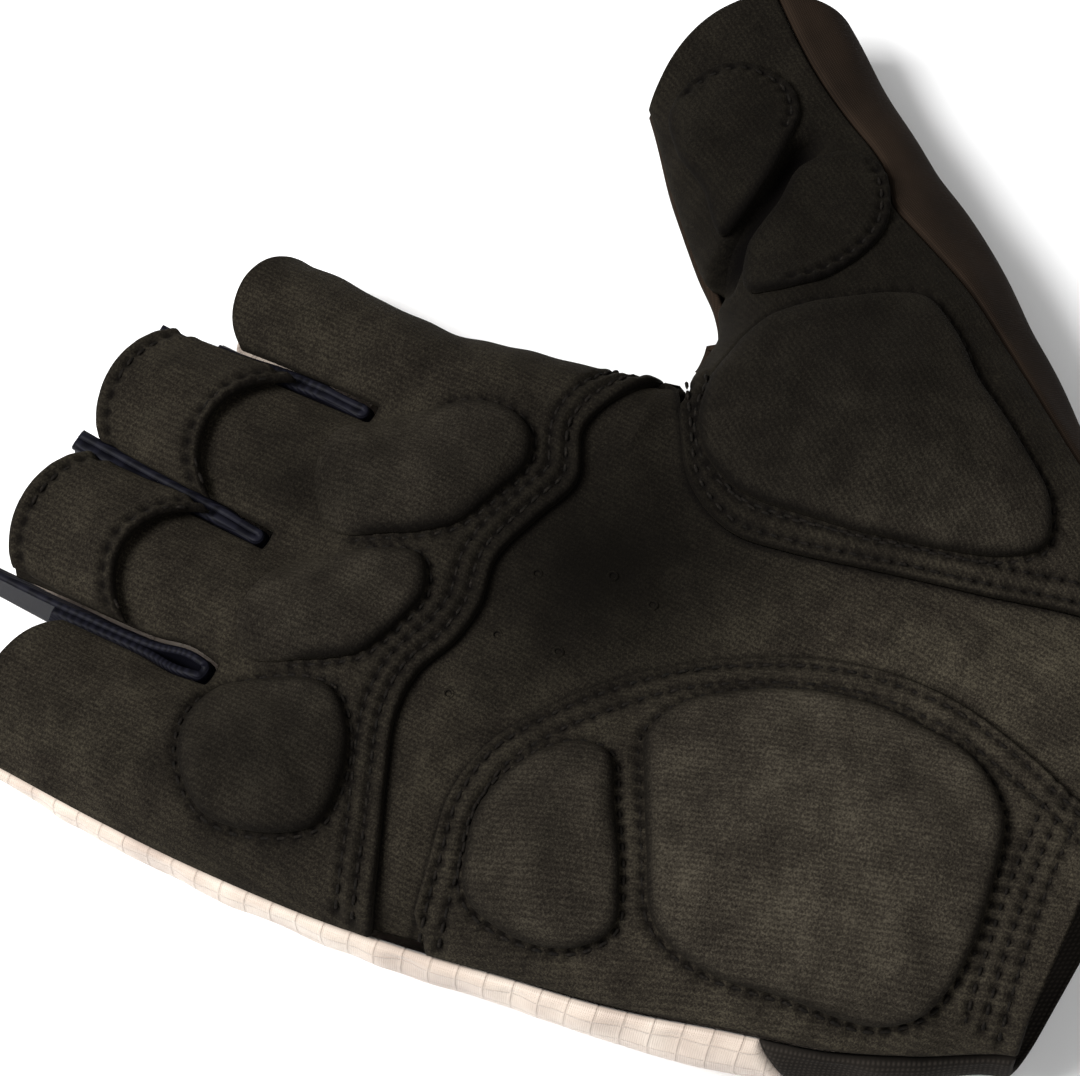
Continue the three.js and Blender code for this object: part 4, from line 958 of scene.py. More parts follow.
# %% Slots and hems
SLOT = GUSSET_CLOTH + GUSSET_FOLD / 2 + SEAM_GAP / 2
SLOT_OPENS, GAPE_AT, GAPE_RUN = (0.8, 0.05, 0.0), 5, 4
HEM_CORNER = 1.9


def gape(g, y):
    """How much further each side of a slot stands from its gusset's line near the crotch."""
    return SLOT_OPENS[g] * np.exp(-((y - GUSSETS[g][3] * LENGTH - GAPE_AT) / GAPE_RUN) ** 2)


def slot_half(g, y):
    """Half the width of the slot between two fingers."""
    return SLOT + gape(g, y)


def hem_line(finger, share):
    """y of a finger's hem: bowed, and rounded off towards the slots."""
    aside = np.abs(2 * share - 1)
    return np.array(HEMS)[finger] * LENGTH - HEM_BOW * aside ** 2 - HEM_CORNER * aside ** 6


def slot_distance(x, y):
    """Distance in plan to the nearest slot between two fingers."""
    gaps = []
    for g, (name, root, end, crotch) in enumerate(GUSSETS):
        dx = np.maximum(np.abs(x - gusset_x(g, y)) - slot_half(g, y), 0)
        gaps.append(np.hypot(dx, np.maximum(crotch * LENGTH - y, 0)))
    return np.min(gaps, 0)


print("slots are", [round(float(2 * slot_half(g, GUSSETS[g][3] * LENGTH)), 2) for g in range(3)], "mm wide")

# %% [markdown]
# The four fingers share one grid, on the palm side and on the back. It has a block of columns
# for each finger and a narrow bridge between two blocks, which ends at the crotch.

# %% Grid of the fingers
BRIDGE = np.linspace(0, 1, 6)[1:-1]
FINGER_SPAN = 22


def finger_columns(first):
    """Finger number, share across it and bridge share of each column; "first" are the shares of
    the little finger, whose free side is rounded."""
    middle = graded(FINGER_SPAN, 0.28, 0.6, 1.6, 1.6)
    last = 1 - first[::-1]
    blocks = [(0, first), (1, middle), (2, middle), (3, last)]
    columns = []
    for finger, shares in blocks:
        columns += [(finger, s, 0) for s in shares]
        if finger < 3:
            columns += [(finger, 1, b) for b in BRIDGE]
    return np.array(columns)


def finger_x(columns, y, left, right):
    """x of each column at its y: between the gussets, or the glove's sides, of its finger."""
    finger, share, bridge = columns[:, 0].astype(int), columns[:, 1], columns[:, 2]
    middle = [gusset_x(g, y) for g in range(3)]
    half = [slot_half(g, y) for g in range(3)]
    low = np.choose(finger, [left(y)] + [m + h for m, h in zip(middle, half)])
    high = np.choose(finger, [m - h for m, h in zip(middle, half)] + [right(y)])
    return mix(low, high, share) + bridge * 2 * np.choose(np.minimum(finger, 2), half)


def finger_sheet(columns, start, left, right, rows_below, rows_above):
    """Plan grid of the four fingers: from the start line to the crotches, then to the hems."""
    finger, share, bridge = columns[:, 0].astype(int), columns[:, 1], columns[:, 2]
    crotch = np.array([g[3] for g in GUSSETS]) * LENGTH
    low, high = crotch[np.maximum(finger - 1, 0)], crotch[np.minimum(finger, 2)]
    crotch_y = mix(low, high, share)
    hem_y = hem_line(finger, share)
    y = np.concatenate([mix(start, crotch_y, rows_below[:, None]),
                        mix(crotch_y, hem_y, rows_above[1:, None])])
    x = np.stack([finger_x(columns, row, left, right) for row in y])
    cells = np.ones((len(y) - 1, len(columns) - 1), bool)
    between = (bridge[:-1] > 0) | (bridge[1:] > 0)
    cells[len(rows_below) - 1:, between] = False
    return x, y, cells, hem_y


# %% [markdown]
# The palm side of the four fingers is one piece of suede. It starts at the stepped seam along
# the knuckles, and its stitch rows and those of the knuckle pads are pressed into it.

# %% Finger panel
EDGE_ROLL = (0.8, 0.7)  # radius and drop of a sewn suede edge


def finger_panel():
    """Suede over the four fingers, down to the stepped seam."""
    first = graded(20, 0.3, 0.6, 1.6, 1.6) ** 1.6
    columns = finger_columns(np.unique(np.round(first, 5)))
    knuckle = FRONT_SEAM[2][1] * LENGTH
    x0 = finger_x(columns, np.full(len(columns), knuckle), palm_left, radial_x)
    start = np.interp(x0, front_seam[:, 0], front_seam[:, 1])
    x, y, cells, hem_y = finger_sheet(columns, start, palm_left, radial_x,
                                      graded(30, 0.28, 0.6, 8, 2), graded(34, 0.3, 0.7, 1, 2.5))
    sheet = on(palm_face, np.dstack([x, y]))
    edge = np.min([arc_from(sheet, 1), arc_from(sheet, 1, True), slot_distance(x, y),
                   y - start, hem_y - y], 0)
    lines = rows["fingers"] + [pad_rows[n] for n in pad_rows if "knuckle" in n]
    out = rolled(edge, *EDGE_ROLL) + grooves(x, y, lines) + waved(x, y, edge)
    panel("finger_panel", sheet, suede_look, turned(x, y, FINGER_GRAIN), out, cells=cells,
          pressed_and_shade=pressed_and_shade_by(x, y, lines, edge))


finger_panel()

# %% [markdown]
# The heel panel is cut along an arc that swings from the outer side round the middle of the
# palm to the cuff. Its grid follows that arc: each row runs from the light lip to the seam.

# %% Heel panel
HEEL_START = 0.472 * LENGTH
HEEL_CORNER = np.array([-0.28 * WIDTH, 0.495 * LENGTH])


def length_near(line, point):
    """Length along a line at its point nearest to a given one."""
    return lengths(line[:, :2])[np.linalg.norm(line[:, :2] - point, axis=1).argmin()]


def heel_panel():
    """Suede over the heel of the hand."""
    t = graded(90, 0.35, 0.65, 2, 3)
    across = graded(60, 0.3, 0.6, 1.6, 2) ** 1.25
    y = mix(HEEL_START, 0, t)
    left = np.stack([palm_left(y), y], 1)
    right = at_length(heel_seam, mix(length_near(heel_seam, HEEL_CORNER), heel_length, t))
    xy = mix(left[:, None], right[:, None], across[None, :, None])
    xy[-1, :, 1] = cuff_y(xy[-1, :, 0])
    sheet = on(palm_face, xy)
    x, y = xy[..., 0], xy[..., 1]
    edge = near_edge(sheet)
    lines = rows["heel"] + rows["cuff"] + [pad_rows["pad_heel_small"], pad_rows["pad_heel_large"]]
    out = rolled(edge, 1.0, 0.8) + grooves(x, y, lines) + waved(x, y, edge)
    panel("heel_panel", sheet, suede_look, turned(x, y, HEEL_GRAIN), out,
          pressed_and_shade=pressed_and_shade_by(x, y, lines, edge))


heel_panel()

# %% [markdown]
# The middle of the palm is one layer of suede that lies lower and runs on under its
# neighbours. Its edges are the three seams moved outwards; at the web it stops short, and the
# corner there is softened.

# %% Edges of the palm panel
NEAR = 0.14 * WIDTH
WEB_LAP, WEB_FROM, WEB_RUN, WEB_SOFT = 0.1, 9, 16, 4
SUNK = SUEDE + PALM_STEP


def lapped(line, run, turn, reach):
    """An edge moved out under its neighbour, square to the seam, or along the outer side."""
    by_seam = offset(line, turn * reach)
    y = line[:, 1] + turn * reach
    by_side = np.stack([outer_x(y) + np.maximum(0, line[:, 0] - outer_x(line[:, 1])), y], 1)
    return mix(by_side, by_seam, smooth(run / (2 * NEAR))[:, None])


def softened(line, run, gap, reach):
    """A line whose corner is rounded: near it each point moves to the mean of its neighbours,
    weighted by a bell curve over the length."""
    weight = np.exp(-((run[:, None] - run[None]) / (0.35 * reach)) ** 2)
    mean = weight @ line / weight.sum(1, keepdims=True)
    return mix(line, mean, np.exp(-(gap / reach) ** 4)[:, None])


def near_seam(x, y):
    """Distance in plan to the nearest seam that lies over the palm panel."""
    return np.min([nearest(line, x, y)[0] for line in (front_seam, thumb_seam, heel_seam)], 0)


def at_side_of_seams(x, y):
    """Above 0 in the open middle of the palm, below 0 where a neighbour covers it."""
    front_y = np.interp(x, front_seam[:, 0], front_seam[:, 1])
    thumb_x = np.interp(y, thumb_seam[:, 1], thumb_seam[:, 0])
    gap, run, index = nearest(heel_seam, x, y)
    k = np.clip(index.astype(int), 0, len(heel_seam) - 2)
    a, b = heel_seam[k], heel_seam[k + 1]
    left = (b[..., 0] - a[..., 0]) * (y - a[..., 1]) - (b[..., 1] - a[..., 1]) * (x - a[..., 0])
    return np.minimum(np.minimum(front_y - y, thumb_x - x), np.sign(left))


print("palm panel's seams:", round(front_length + heel_length + thumb_length), "mm")

# %% [markdown]
# Nothing pads the middle of the palm, so it creases where the hand closes: slanted ridges that
# come and go. Close to a seam the panel lies a full layer lower, which casts a line of shadow.

# %% Creases
CREASE_HEIGHT, CREASE_PITCH, CREASE_SLANT, CREASE_BEND = 0.55, 6.5, 0.45, 3.5
UNDER, OPEN_DEPTH, RISE_RUN, SMOOTH_BY_SEAM = SUEDE + 0.15, 0.55, 7, 9


def creases(x, y):
    """Slanted creases of unpadded suede: ridges where a bent wave crosses zero."""
    bend = CREASE_BEND * waves(x, y, 16, 11)
    across_hand = (y + CREASE_SLANT * x + bend) / CREASE_PITCH
    ridge = 1 - np.abs(np.sin(across_hand * np.pi / 2))
    return CREASE_HEIGHT * ridge ** 3 * smooth(0.5 + waves(x, y, 12, 12))


def palm_relief(x, y):
    """How far the palm panel's outer skin lies from the palm face."""
    gap = near_seam(x, y)
    depth = mix(UNDER, OPEN_DEPTH, smooth((gap - 1) / RISE_RUN))
    return (undulation(x, y) + creases(x, y)) * smooth(gap / SMOOTH_BY_SEAM) - depth


def palm_skin(x, y):
    """Height of the palm panel's outer skin in the hollow."""
    return palm_face(x, y) + palm_relief(x, y)


print("palm panel's depth in the open:", round(float(-palm_relief(30.0, 80.0)), 2), "mm")

# %% [markdown]
# The panel's grid runs from the heel seam to the knuckle and thumb seams. Cells that would
# stick out past the web are left away.

# %% Palm panel
PALM_CELL, PALM_COLUMNS, PALM_FLAT = 0.62, 110, 118
PAST_WEB = (8, 0.6, 14)


def palm_panel():
    """Unpadded suede in the hollow of the hand."""
    total = front_length + thumb_length
    close = NEAR * (1 - np.cos(np.linspace(0, np.pi / 2, 14)[:-1]))
    run = np.concatenate([close, np.arange(NEAR, total, PALM_CELL), [total]])
    high = at_length(np.vstack([front_seam, thumb_seam[::-1][1:]]), run)
    past_near = mix(NEAR, heel_length, (run - NEAR) / (total - NEAR))
    low = at_length(heel_seam, np.where(run <= NEAR, run, past_near))
    from_web = np.abs(run - front_length)
    reach = mix(WEB_LAP, SEAM_LAP, smooth((from_web - WEB_FROM) / WEB_RUN))
    high, low = lapped(high, run, 1, reach), lapped(low, run, -1, SEAM_LAP)
    high = softened(high, run, from_web, WEB_SOFT)
    xy = mix(low[:, None], high[:, None], np.linspace(0, 1, PALM_COLUMNS)[None, :, None])
    xy[-1, :, 1] = cuff_y(xy[-1, :, 0])
    sheet = on(palm_face, xy)
    x, y = xy[..., 0], xy[..., 1]
    tuck = SIDE_TUCK * (1 - smooth(run / (1.6 * NEAR)))[:, None]
    inner_side = at_side_of_seams(x, y)
    out = np.where((inner_side < 0) | (near_edge(sheet) < 2), -UNDER, palm_relief(x, y)) - tuck
    past = (x > web[0] - PAST_WEB[0]) & (inner_side < -PAST_WEB[1]) & (y > web[1] - PAST_WEB[2])
    cells = ~(past[:-1, :-1] | past[1:, 1:] | past[1:, :-1] | past[:-1, 1:])
    # Painted shade along the seams, where the neighbouring panels' edges overhang this one.
    pressed_and_shade = 0.75 * np.exp(-(near_seam(x, y) / 0.7) ** 2)
    piece, area = cloth("palm_panel", sheet, suede_look, turned(x, y, FINGER_GRAIN), out,
                        -SUNK - tuck - SUEDE + 0 * x, cells=cells, pressed_and_shade=pressed_and_shade)
    print("palm panel area", round(area), "square mm")


palm_panel()

# %% [markdown]
# The thumb is a tube. A table pairs points on its inner line with points on its outer side;
# curves through the pairs give the rows of both thumb pieces, the suede over its palm side and
# the stretch knit that comes over the outer side from its back.

# %% Rows across the thumb
THUMB_HEM_BOW, TUBE_FROM, TUBE_RUN, TUBE_HEM = 7, 0.5, 0.12, 0.8
BACK_SEAM_GAP = 1.4

beyond_web = inner[np.argmax(inner[:, 0] > web[0]):, :2]
thumb_inner = np.vstack([thumb_seam, beyond_web])
keys = np.array([(length_near(thumb_inner, (ix * WIDTH, iy * LENGTH)),
                  length_near(thumb_outer, (ox * WIDTH, oy * LENGTH)), top * 100)
                 for ix, iy, ox, oy, top in THUMB_LINES])


def thumb_rows(t):
    """Inner and outer ends of the rows across the thumb, and the share of each row that the
    knit takes up on the palm side."""
    key = through(keys, t)
    return at_length(thumb_inner, key[:, 0]), at_length(thumb_outer[:, :2], key[:, 1]), key[:, 2] / 100


CUFF_ROW = 0.2  # least distance between rows that the cuff's scoop presses together


def thumb_points(t, start, end, share):
    """Plan points at a share across each row, with the cuff's scoop and the hem's bow."""
    p = mix(start[:, None], end[:, None], share[..., None])
    p[0, :, 1] = cuff_y(p[0, :, 0])
    p[..., 1] = np.maximum(p[..., 1], cuff_y(p[..., 0]) + CUFF_ROW * np.arange(len(p))[:, None])
    along = np.stack([start[:, 1] - end[:, 1], end[:, 0] - start[:, 0]], 1)
    along /= np.linalg.norm(along, axis=1, keepdims=True)
    bow = THUMB_HEM_BOW * smooth((t - TUBE_HEM) / (1 - TUBE_HEM))[:, None] * (1 - (2 * share - 1) ** 2)
    return p + along[:, None] * bow[..., None]


print("rows across the thumb run", len(keys), "spans,", round(keys[-1, 0]), "mm on the inner side")

# %% [markdown]
# At the web the panels turn a sharp corner. Straight rows would cross there, so the line that
# they start from is rounded off first. The finished sheet is then relaxed, as cloth would be:
# each point moves many times towards the middle of its neighbours.

# %% Rounding the web
WEB_REACH, WEB_PASSES, WEB_PULL = 10, 260, 0.9


def web_pull(p):
    """How strongly points near the web are drawn along: most at it, not at all beyond reach."""
    return WEB_PULL * smooth(1 - np.hypot(p[..., 0] - web[0], p[..., 1] - web[1]) / WEB_REACH)[..., None]


def rounded(line):
    """A plan line with its corner at the web rounded off."""
    pull, line = web_pull(line)[1:-1], line.copy()
    for _ in range(WEB_PASSES):
        line[1:-1] += pull * ((line[2:] + line[:-2]) / 2 - line[1:-1])
    return line


def eased(sheet):
    """The sheet near the web, each point drawn towards the middle of its neighbours, and each
    point of the inner edge towards the two beside it, so the cloth rounds the corner softly."""
    pull = web_pull(sheet)
    for _ in range(WEB_PASSES):
        around = (sheet[2:, 1:-1] + sheet[:-2, 1:-1] + sheet[1:-1, 2:] + sheet[1:-1, :-2]) / 4
        beside = (sheet[2:, 0] + sheet[:-2, 0]) / 2
        sheet[1:-1, 1:-1] += pull[1:-1, 1:-1] * (around - sheet[1:-1, 1:-1])
        sheet[1:-1, 0] += pull[1:-1, 0] * (beside - sheet[1:-1, 0])
    return sheet


def thumb_grid(t):
    """Row starts, row ends, the knit's share of each row on the palm side, and row widths."""
    start, end, top = thumb_rows(t)
    start = rounded(start)
    return start, end, top, np.linalg.norm(end - start, axis=1)


print("the web is rounded within", WEB_REACH, "mm")

# %% [markdown]
# The thumb's suede covers its palm side from the cuff to the opening. It is pared thin at the
# web, as a maker does where several layers meet.

# %% Thumb panel
WEB_PARED, PARED_REACH = 1.0, 9


def thumb_panel():
    """Suede over the palm side of the thumb, from the cuff to the thumb's opening."""
    t = graded(125, 0.4, 0.65, 3, 2.5)
    start, end, top, width = thumb_grid(t)
    last = 1 - top - SEAM_GAP / 2 / width
    share = last[:, None] * graded(46, 0.3, 0.6, 2, 2)[None] ** 1.15
    sheet = eased(on(palm_face, thumb_points(t, start, end, share)))
    x, y = sheet[..., 0], sheet[..., 1]
    edge = near_edge(sheet)
    lines = rows["thumb"] + rows["cuff"] + [pad_rows["pad_thumb_base"]]
    folded = fold(x, y)
    out = rolled(edge, *EDGE_ROLL) + grooves(x, y, lines) + waved(x, y, edge) - FOLD_DEPTH * folded
    # Painted shade in the thumb's fold, as well as beside stitches and edges.
    pressed_and_shade = np.maximum(pressed_and_shade_by(x, y, lines, edge), folded)
    thickness = SUEDE - WEB_PARED * smooth(1 - np.hypot(x - web[0], y - web[1]) / PARED_REACH)
    panel("thumb_panel", sheet, suede_look, turned(x, y, THUMB_GRAIN), out, thickness,
          pressed_and_shade=pressed_and_shade)


thumb_panel()

# %% [markdown]
# Brown stretch knit wraps the thumb's outer side. Its rows start at the seam on the palm side,
# go round the outer line, and come back along the table to the inner side.

# %% Thumb back
def thumb_back():
    """Brown stretch knit round the thumb's outer side and back."""
    t = graded(125, 0.5, 0.8, 2, 2)
    start, end, top, width = thumb_grid(t)
    first = 1 - top + SEAM_GAP / 2 / width
    last = BACK_SEAM_GAP / 2 / width * (1 - smooth((t - TUBE_FROM) / TUBE_RUN))
    over = np.sin(np.linspace(0, np.pi / 2, 34))
    down = 0.5 + 0.5 * np.cos(np.linspace(0, np.pi, 80))[1:]
    top_xy = thumb_points(t, start, end, mix(first[:, None], 1, over[None]))
    back_xy = thumb_points(t, start, end, mix(last[:, None], 1, down[None]))
    sheet = np.concatenate([on(palm_face, top_xy), on(back_face, back_xy)], 1)
    x, y = sheet[..., 0], sheet[..., 1]
    edge = near_edge(sheet)
    run = arc_from(sheet, 1)
    out = rolled(edge, 1.3, 0.9) + 0.15 * waves(run, y, 6, 21) * smooth(edge / 4)
    panel("thumb_back", sheet, stretch_look, np.dstack([run, arc_from(sheet, 0)]),
          out, CLOTH, DOWN)


thumb_back()

# %% [markdown]
# The back of the glove is light ripstop. It lies on the table, so only its lip shows here: it
# comes up round the outer side and is sewn to the suede. The black knit at the wrist meets it
# on a line that slants at the corner.

# %% Lip round the outer side
LIP_COLUMNS = 30
LIP_ROLL = (1.2, 0.85)
PUCKER_SIZE, FADE_RUN = 3.2, 3


def back_right(y):
    """x of the back's inner edge: beside the thumb piece, or on the index finger's side."""
    return radial_x(y) - np.where(np.asarray(y) < web[1], BACK_SEAM_GAP / 2, 0)


def wrist_y(share):
    """y of the seam between wrist and back, from a share across the hand."""
    return CUFF_DEPTH + CUFF_CORNER / 2 * np.exp(-(share / CORNER_REACH) ** 2)


def lip_rows(y, corner):
    """Points of the lip beside each row, from its free edge down to the widest line."""
    t = np.linspace(0, 1, LIP_COLUMNS + 1)[None, :-1]
    at = y[:, None] + corner[:, None] * (1 - t)
    angle = mix(lip_angle(at), 0, t)
    return on(palm_face, np.dstack([outer_x(at) + outer_radius(at) * (1 - np.cos(angle)), at]))


def puckers(y, reach):
    """Small gathers along the lip's seam: bulges a few millimetres apart that die out below."""
    gathers = 0.28 * waves(y, 0 * y, PUCKER_SIZE, 31) * np.exp(-reach / 4)
    return gathers + 0.22 * waves(y, reach, 7, 32)


def with_lip(name, sheet, cells, corner, look):
    """Adds the lip to a back sheet and builds the panel, flat where it rests on the table."""
    lip = lip_rows(sheet[:, 0, 1], corner)
    sheet = np.concatenate([lip, sheet], 1)
    cells = np.concatenate([np.ones((len(cells), LIP_COLUMNS), bool), cells], 1)
    reach = arc_from(sheet, 1)
    edge = near_edge(sheet)
    fade = smooth(edge / 2) * smooth((sheet[..., 2] - 0.5) / FADE_RUN)
    out = rolled(edge, *LIP_ROLL) + puckers(sheet[..., 1], reach) * fade
    panel(name, sheet, look, np.dstack([reach, sheet[..., 1]]), out, CLOTH, DOWN, cells)


print("lip columns:", LIP_COLUMNS)

# %% [markdown]
# The ripstop back shares the fingers' grid with the palm side. Its columns stand closer beside
# the outer side, where the cloth turns up from the table.

# %% Back panel
TURN_UP = 0.45  # share of the little finger's columns that turn up to the side


def back_panel():
    """Ripstop back of the hand and fingers, with the lip round the outer side."""
    first = TURN_UP * (1 - np.cos(np.linspace(0, np.pi / 2, 20)))[:-1]
    columns = finger_columns(np.round(np.concatenate([first, np.linspace(TURN_UP, 1, 18)]), 5))
    x0 = finger_x(columns, np.full(len(columns), CUFF_DEPTH), outer_x, back_right)
    left, right = outer_x(CUFF_DEPTH), back_right(CUFF_DEPTH)
    start = wrist_y((x0 - left) / (right - left)) + SEAM_GAP / 2
    x, y, cells, hem_y = finger_sheet(columns, start, outer_x, back_right,
                                      graded(100, 0.5, 0.9, 3, 1), graded(34, 0.5, 1.0, 1, 2))
    corner = CUFF_CORNER / 2 * np.clip(1 - (y[:, 0] - start[0]) / 20, 0, 1)
    with_lip("back_panel", on(back_face, np.dstack([x, y])), cells, corner, ripstop_look)


back_panel()

# %% [markdown]
# The wrist piece is black knit. It continues the back to the cuff, with the same lip.

# %% Wrist
WRIST_TURN = 0.22


def cuff_back():
    """Black knit round the wrist at the back."""
    turn_up = WRIST_TURN * (1 - np.cos(np.linspace(0, np.pi / 2, 16)[:-1]))
    share = np.concatenate([turn_up, np.linspace(WRIST_TURN, 1, 90)])
    t = graded(25, 0.4, 0.7, 2, 2)
    y = t[:, None] * (wrist_y(share) - SEAM_GAP / 2)[None]
    sheet = on(back_face, np.dstack([mix(outer_x(y), back_right(y), share), y]))
    cells = np.ones(np.array(y.shape) - 1, bool)
    with_lip("cuff_back", sheet, cells, CUFF_CORNER / 2 * t, wrist_look)


cuff_back()

# %% [markdown]
# A gusset stands between two fingers: one satin strip that is folded at the crotch, with a
# layer along each finger. Between the middle fingers it stands proud of the suede; beside the
# little finger it lies in its slot, and its layers part there.

# %% Gussets
# How far each gusset stands over the fingers: near its crotch and at their hems.
CROTCH_RISES, HEM_RISES, RISE_FROM = (-0.6, 1.3, 0.9), (-1.6, 2.0, -0.9), 0.84
LAYER, INNER_SKIN, CROTCH_FREE, GROWN_WITHIN = 0.51, 0.48, 0.35, 7
# What a layer gains in width: always, over the suede, and below it, where it meets the panels.
GAIN, GAIN_OVER, GAIN_BELOW = 0.22, 0.4, 0.75
TOP_ROUND, LEAST_SHARE = 0.5, 0.31


def gusset_path(g):
    """Plan line along one layer from its hem, round the fold and along the other to its hem."""
    turn = GUSSETS[g][3] * LENGTH + GUSSET_CLOTH + CROTCH_FREE + LAYER
    t = np.linspace(0, 1, 70)
    legs = []
    for sign, finger in ((-1, g), (1, g + 1)):
        y = mix(turn, HEMS[finger] * LENGTH - HEM_BOW + GUSSET_PROUD, t)
        legs.append(np.stack([gusset_x(g, y) + sign * (LAYER + gape(g, y)), y], 1))
    a = np.linspace(0, np.pi, 12)[1:-1]
    bend = np.stack([gusset_x(g, turn) - (LAYER + gape(g, turn)) * np.cos(a), turn - LAYER * np.sin(a)], 1)
    return np.concatenate([legs[0][::-1], bend, legs[1]]), turn


def gusset(g):
    """A folded strip between fingers g and g + 1: its rows follow the fold in plan, its columns
    climb from the back to just over the palm side."""
    name = GUSSETS[g][0]
    path, turn = gusset_path(g)
    x, y = path.T
    run = lengths(path)
    grown = smooth((y - turn) / GROWN_WITHIN)
    rise = mix(CROTCH_RISES[g], HEM_RISES[g], smooth((y / LENGTH - RISE_FROM) / 0.1))
    face = palm_face(x, y)
    high = face + rise * grown + 0.15 * waves(y, 0 * y, 5, 41 + g) * grown
    low = back_face(x, y) + 0.2
    climb = graded(16, 0.35, 0.7, 1, 3)
    x, y, run, face = (np.repeat(k[:, None], len(climb), 1) for k in (x, y, run, face))
    z = mix(low[:, None], high[:, None], climb[None])
    sheet = np.dstack([x, y, z])
    over, below = smooth((z - face - 0.2) / 0.7), smooth((face - 1.7 - z) / 0.9)
    spread = GAIN + GAIN_OVER * over + GAIN_BELOW * below + 0.08 * waves(y, 0 * y, 4, 81 + g)
    out = 0.5 * GUSSET_CLOTH + spread + rolled(arc_from(sheet, 1, True), TOP_ROUND, 0.1 + spread)
    piece, area = cloth(name, sheet, satin_look, np.dstack([z, run]), out, 0 * out - INNER_SKIN,
                        CUFFWARD)


for g in range(3):
    gusset(g)

# %% [markdown]
# Two pull tabs cross the middle fingers: doubled suede bands, sewn along the hem and open
# towards the palm, that the wearer pinches to draw the glove off.

# %% Pull tabs
TAB_THICK, TAB_LENGTH, TAB_LIFT, TAB_BASE = 1.5, 21, 1.2, 0.45
TAB_INSET, TAB_BOW, TAB_SKEW, TAB_EDGE = 0.6, 3, 1, 0.03
TAB_SEAMS = (0.13, 0.9)
tab_rows = []


def pull_tab(name, finger):
    """A band across a finger: its rows run from the hem to the open edge, a little lifted."""
    t = graded(21, 0.3, 0.5, 1.5, 1.5)
    s = mix(TAB_EDGE, 1 - TAB_EDGE, graded(22, 0.3, 0.5, 1.2, 1.2))
    column = np.stack([np.full(len(s), finger), s, 0 * s], 1)
    open_edge = TAB_LENGTH - TAB_BOW * (1 - (2 * s - 1) ** 2) + TAB_SKEW * s
    y = hem_line(np.full(len(s), finger), s)[None] - mix(TAB_INSET, open_edge[None], t[:, None])
    x = np.stack([finger_x(column, row, palm_left, radial_x) for row in y])
    sheet = on(palm_face, np.dstack([x, y]))
    edge = near_edge(sheet)
    height = TAB_BASE + TAB_LIFT * smooth(t)[:, None]
    inn = height + undulation(x, y) * 0.5
    seam_rows = [np.abs(t - share).argmin() for share in TAB_SEAMS]
    seams = [np.stack([x[k], y[k]], 1) for k in seam_rows]
    tab_rows.extend((line, TAB_THICK + TAB_BASE + TAB_LIFT * smooth(share))
                    for line, share in zip(seams, TAB_SEAMS))
    soft = 0.3 * waves(x, y, 6, 51 + finger) * smooth(edge / 3)
    out = inn + TAB_THICK + rolled(edge, 1.0, 0.95) + grooves(x, y, seams) + soft
    piece, area = cloth(name, sheet, suede_look, turned(x, y, FINGER_GRAIN), out, inn,
                        pressed_and_shade=pressed_and_shade_by(x, y, seams, edge))


pull_tab("pull_tab_ring", 1)
pull_tab("pull_tab_middle", 2)

# %% [markdown]
# A pad's grid is a square that is bent into a disc and then stretched to the outline, which
# leaves no crowded point in the middle.

# %% Grid of a pad
def pad_grid(name, steps=86):
    """Square grid u, v bent to a disc by x = u root(1 - v v / 2), then stretched so that the
    circle lies on the pad's outline; the middle stays where it is."""
    line = pad_line(name)
    centre = line[:-1].mean(0)
    w = np.sin(np.linspace(-np.pi / 2, np.pi / 2, steps)) * 0.5 + np.linspace(-1, 1, steps) * 0.5
    u, v = np.meshgrid(w, w)
    dx, dy = u * np.sqrt(1 - v * v / 2), v * np.sqrt(1 - u * u / 2)
    share = np.hypot(dx, dy)
    k = (np.arctan2(dy, dx) / (2 * np.pi)) % 1 * (len(line) - 1)
    rim = np.stack([np.interp(k, np.arange(len(line)), line[:, j]) for j in (0, 1)], -1)
    return centre + (rim - centre) * share[..., None], line


print("points in a pad's grid:", pad_grid("pad_heel_large")[0].shape[:2])

# %% [markdown]
# The pads are pockets of the same suede over thin foam. A pocket is sewn all round, so it
# rises steeply from its stitches and swells softly in the middle. Cloth simulation could
# inflate one, but here the rim is fixed on every side and the foam is thin, so a formula for
# the swelling gives the same form every time. Patches are the same, only flatter.

# %% Pads and patches
GRAINS = {"pad_knuckle_index": FINGER_GRAIN, "pad_knuckle_ring": FINGER_GRAIN,
          "pad_knuckle_little": FINGER_GRAIN, "pad_thumb_base": THUMB_GRAIN,
          "pad_heel_small": HEEL_GRAIN, "pad_heel_large": HEEL_GRAIN,
          "thumb_crotch_patch": THUMB_GRAIN, "thumb_tip_patch": THUMB_GRAIN}
# Height of the shoulder, swelling of the middle and width of the shoulder.
PAD_FORM, PATCH_FORM = (1.9, 0.8, 3.2), (1.1, 0.2, 1.4)
SOFT_RUN, SOFT_ROLL, SWELL_RUN, SHOULDER_POWER = 0.035, 10, 12, 2.4


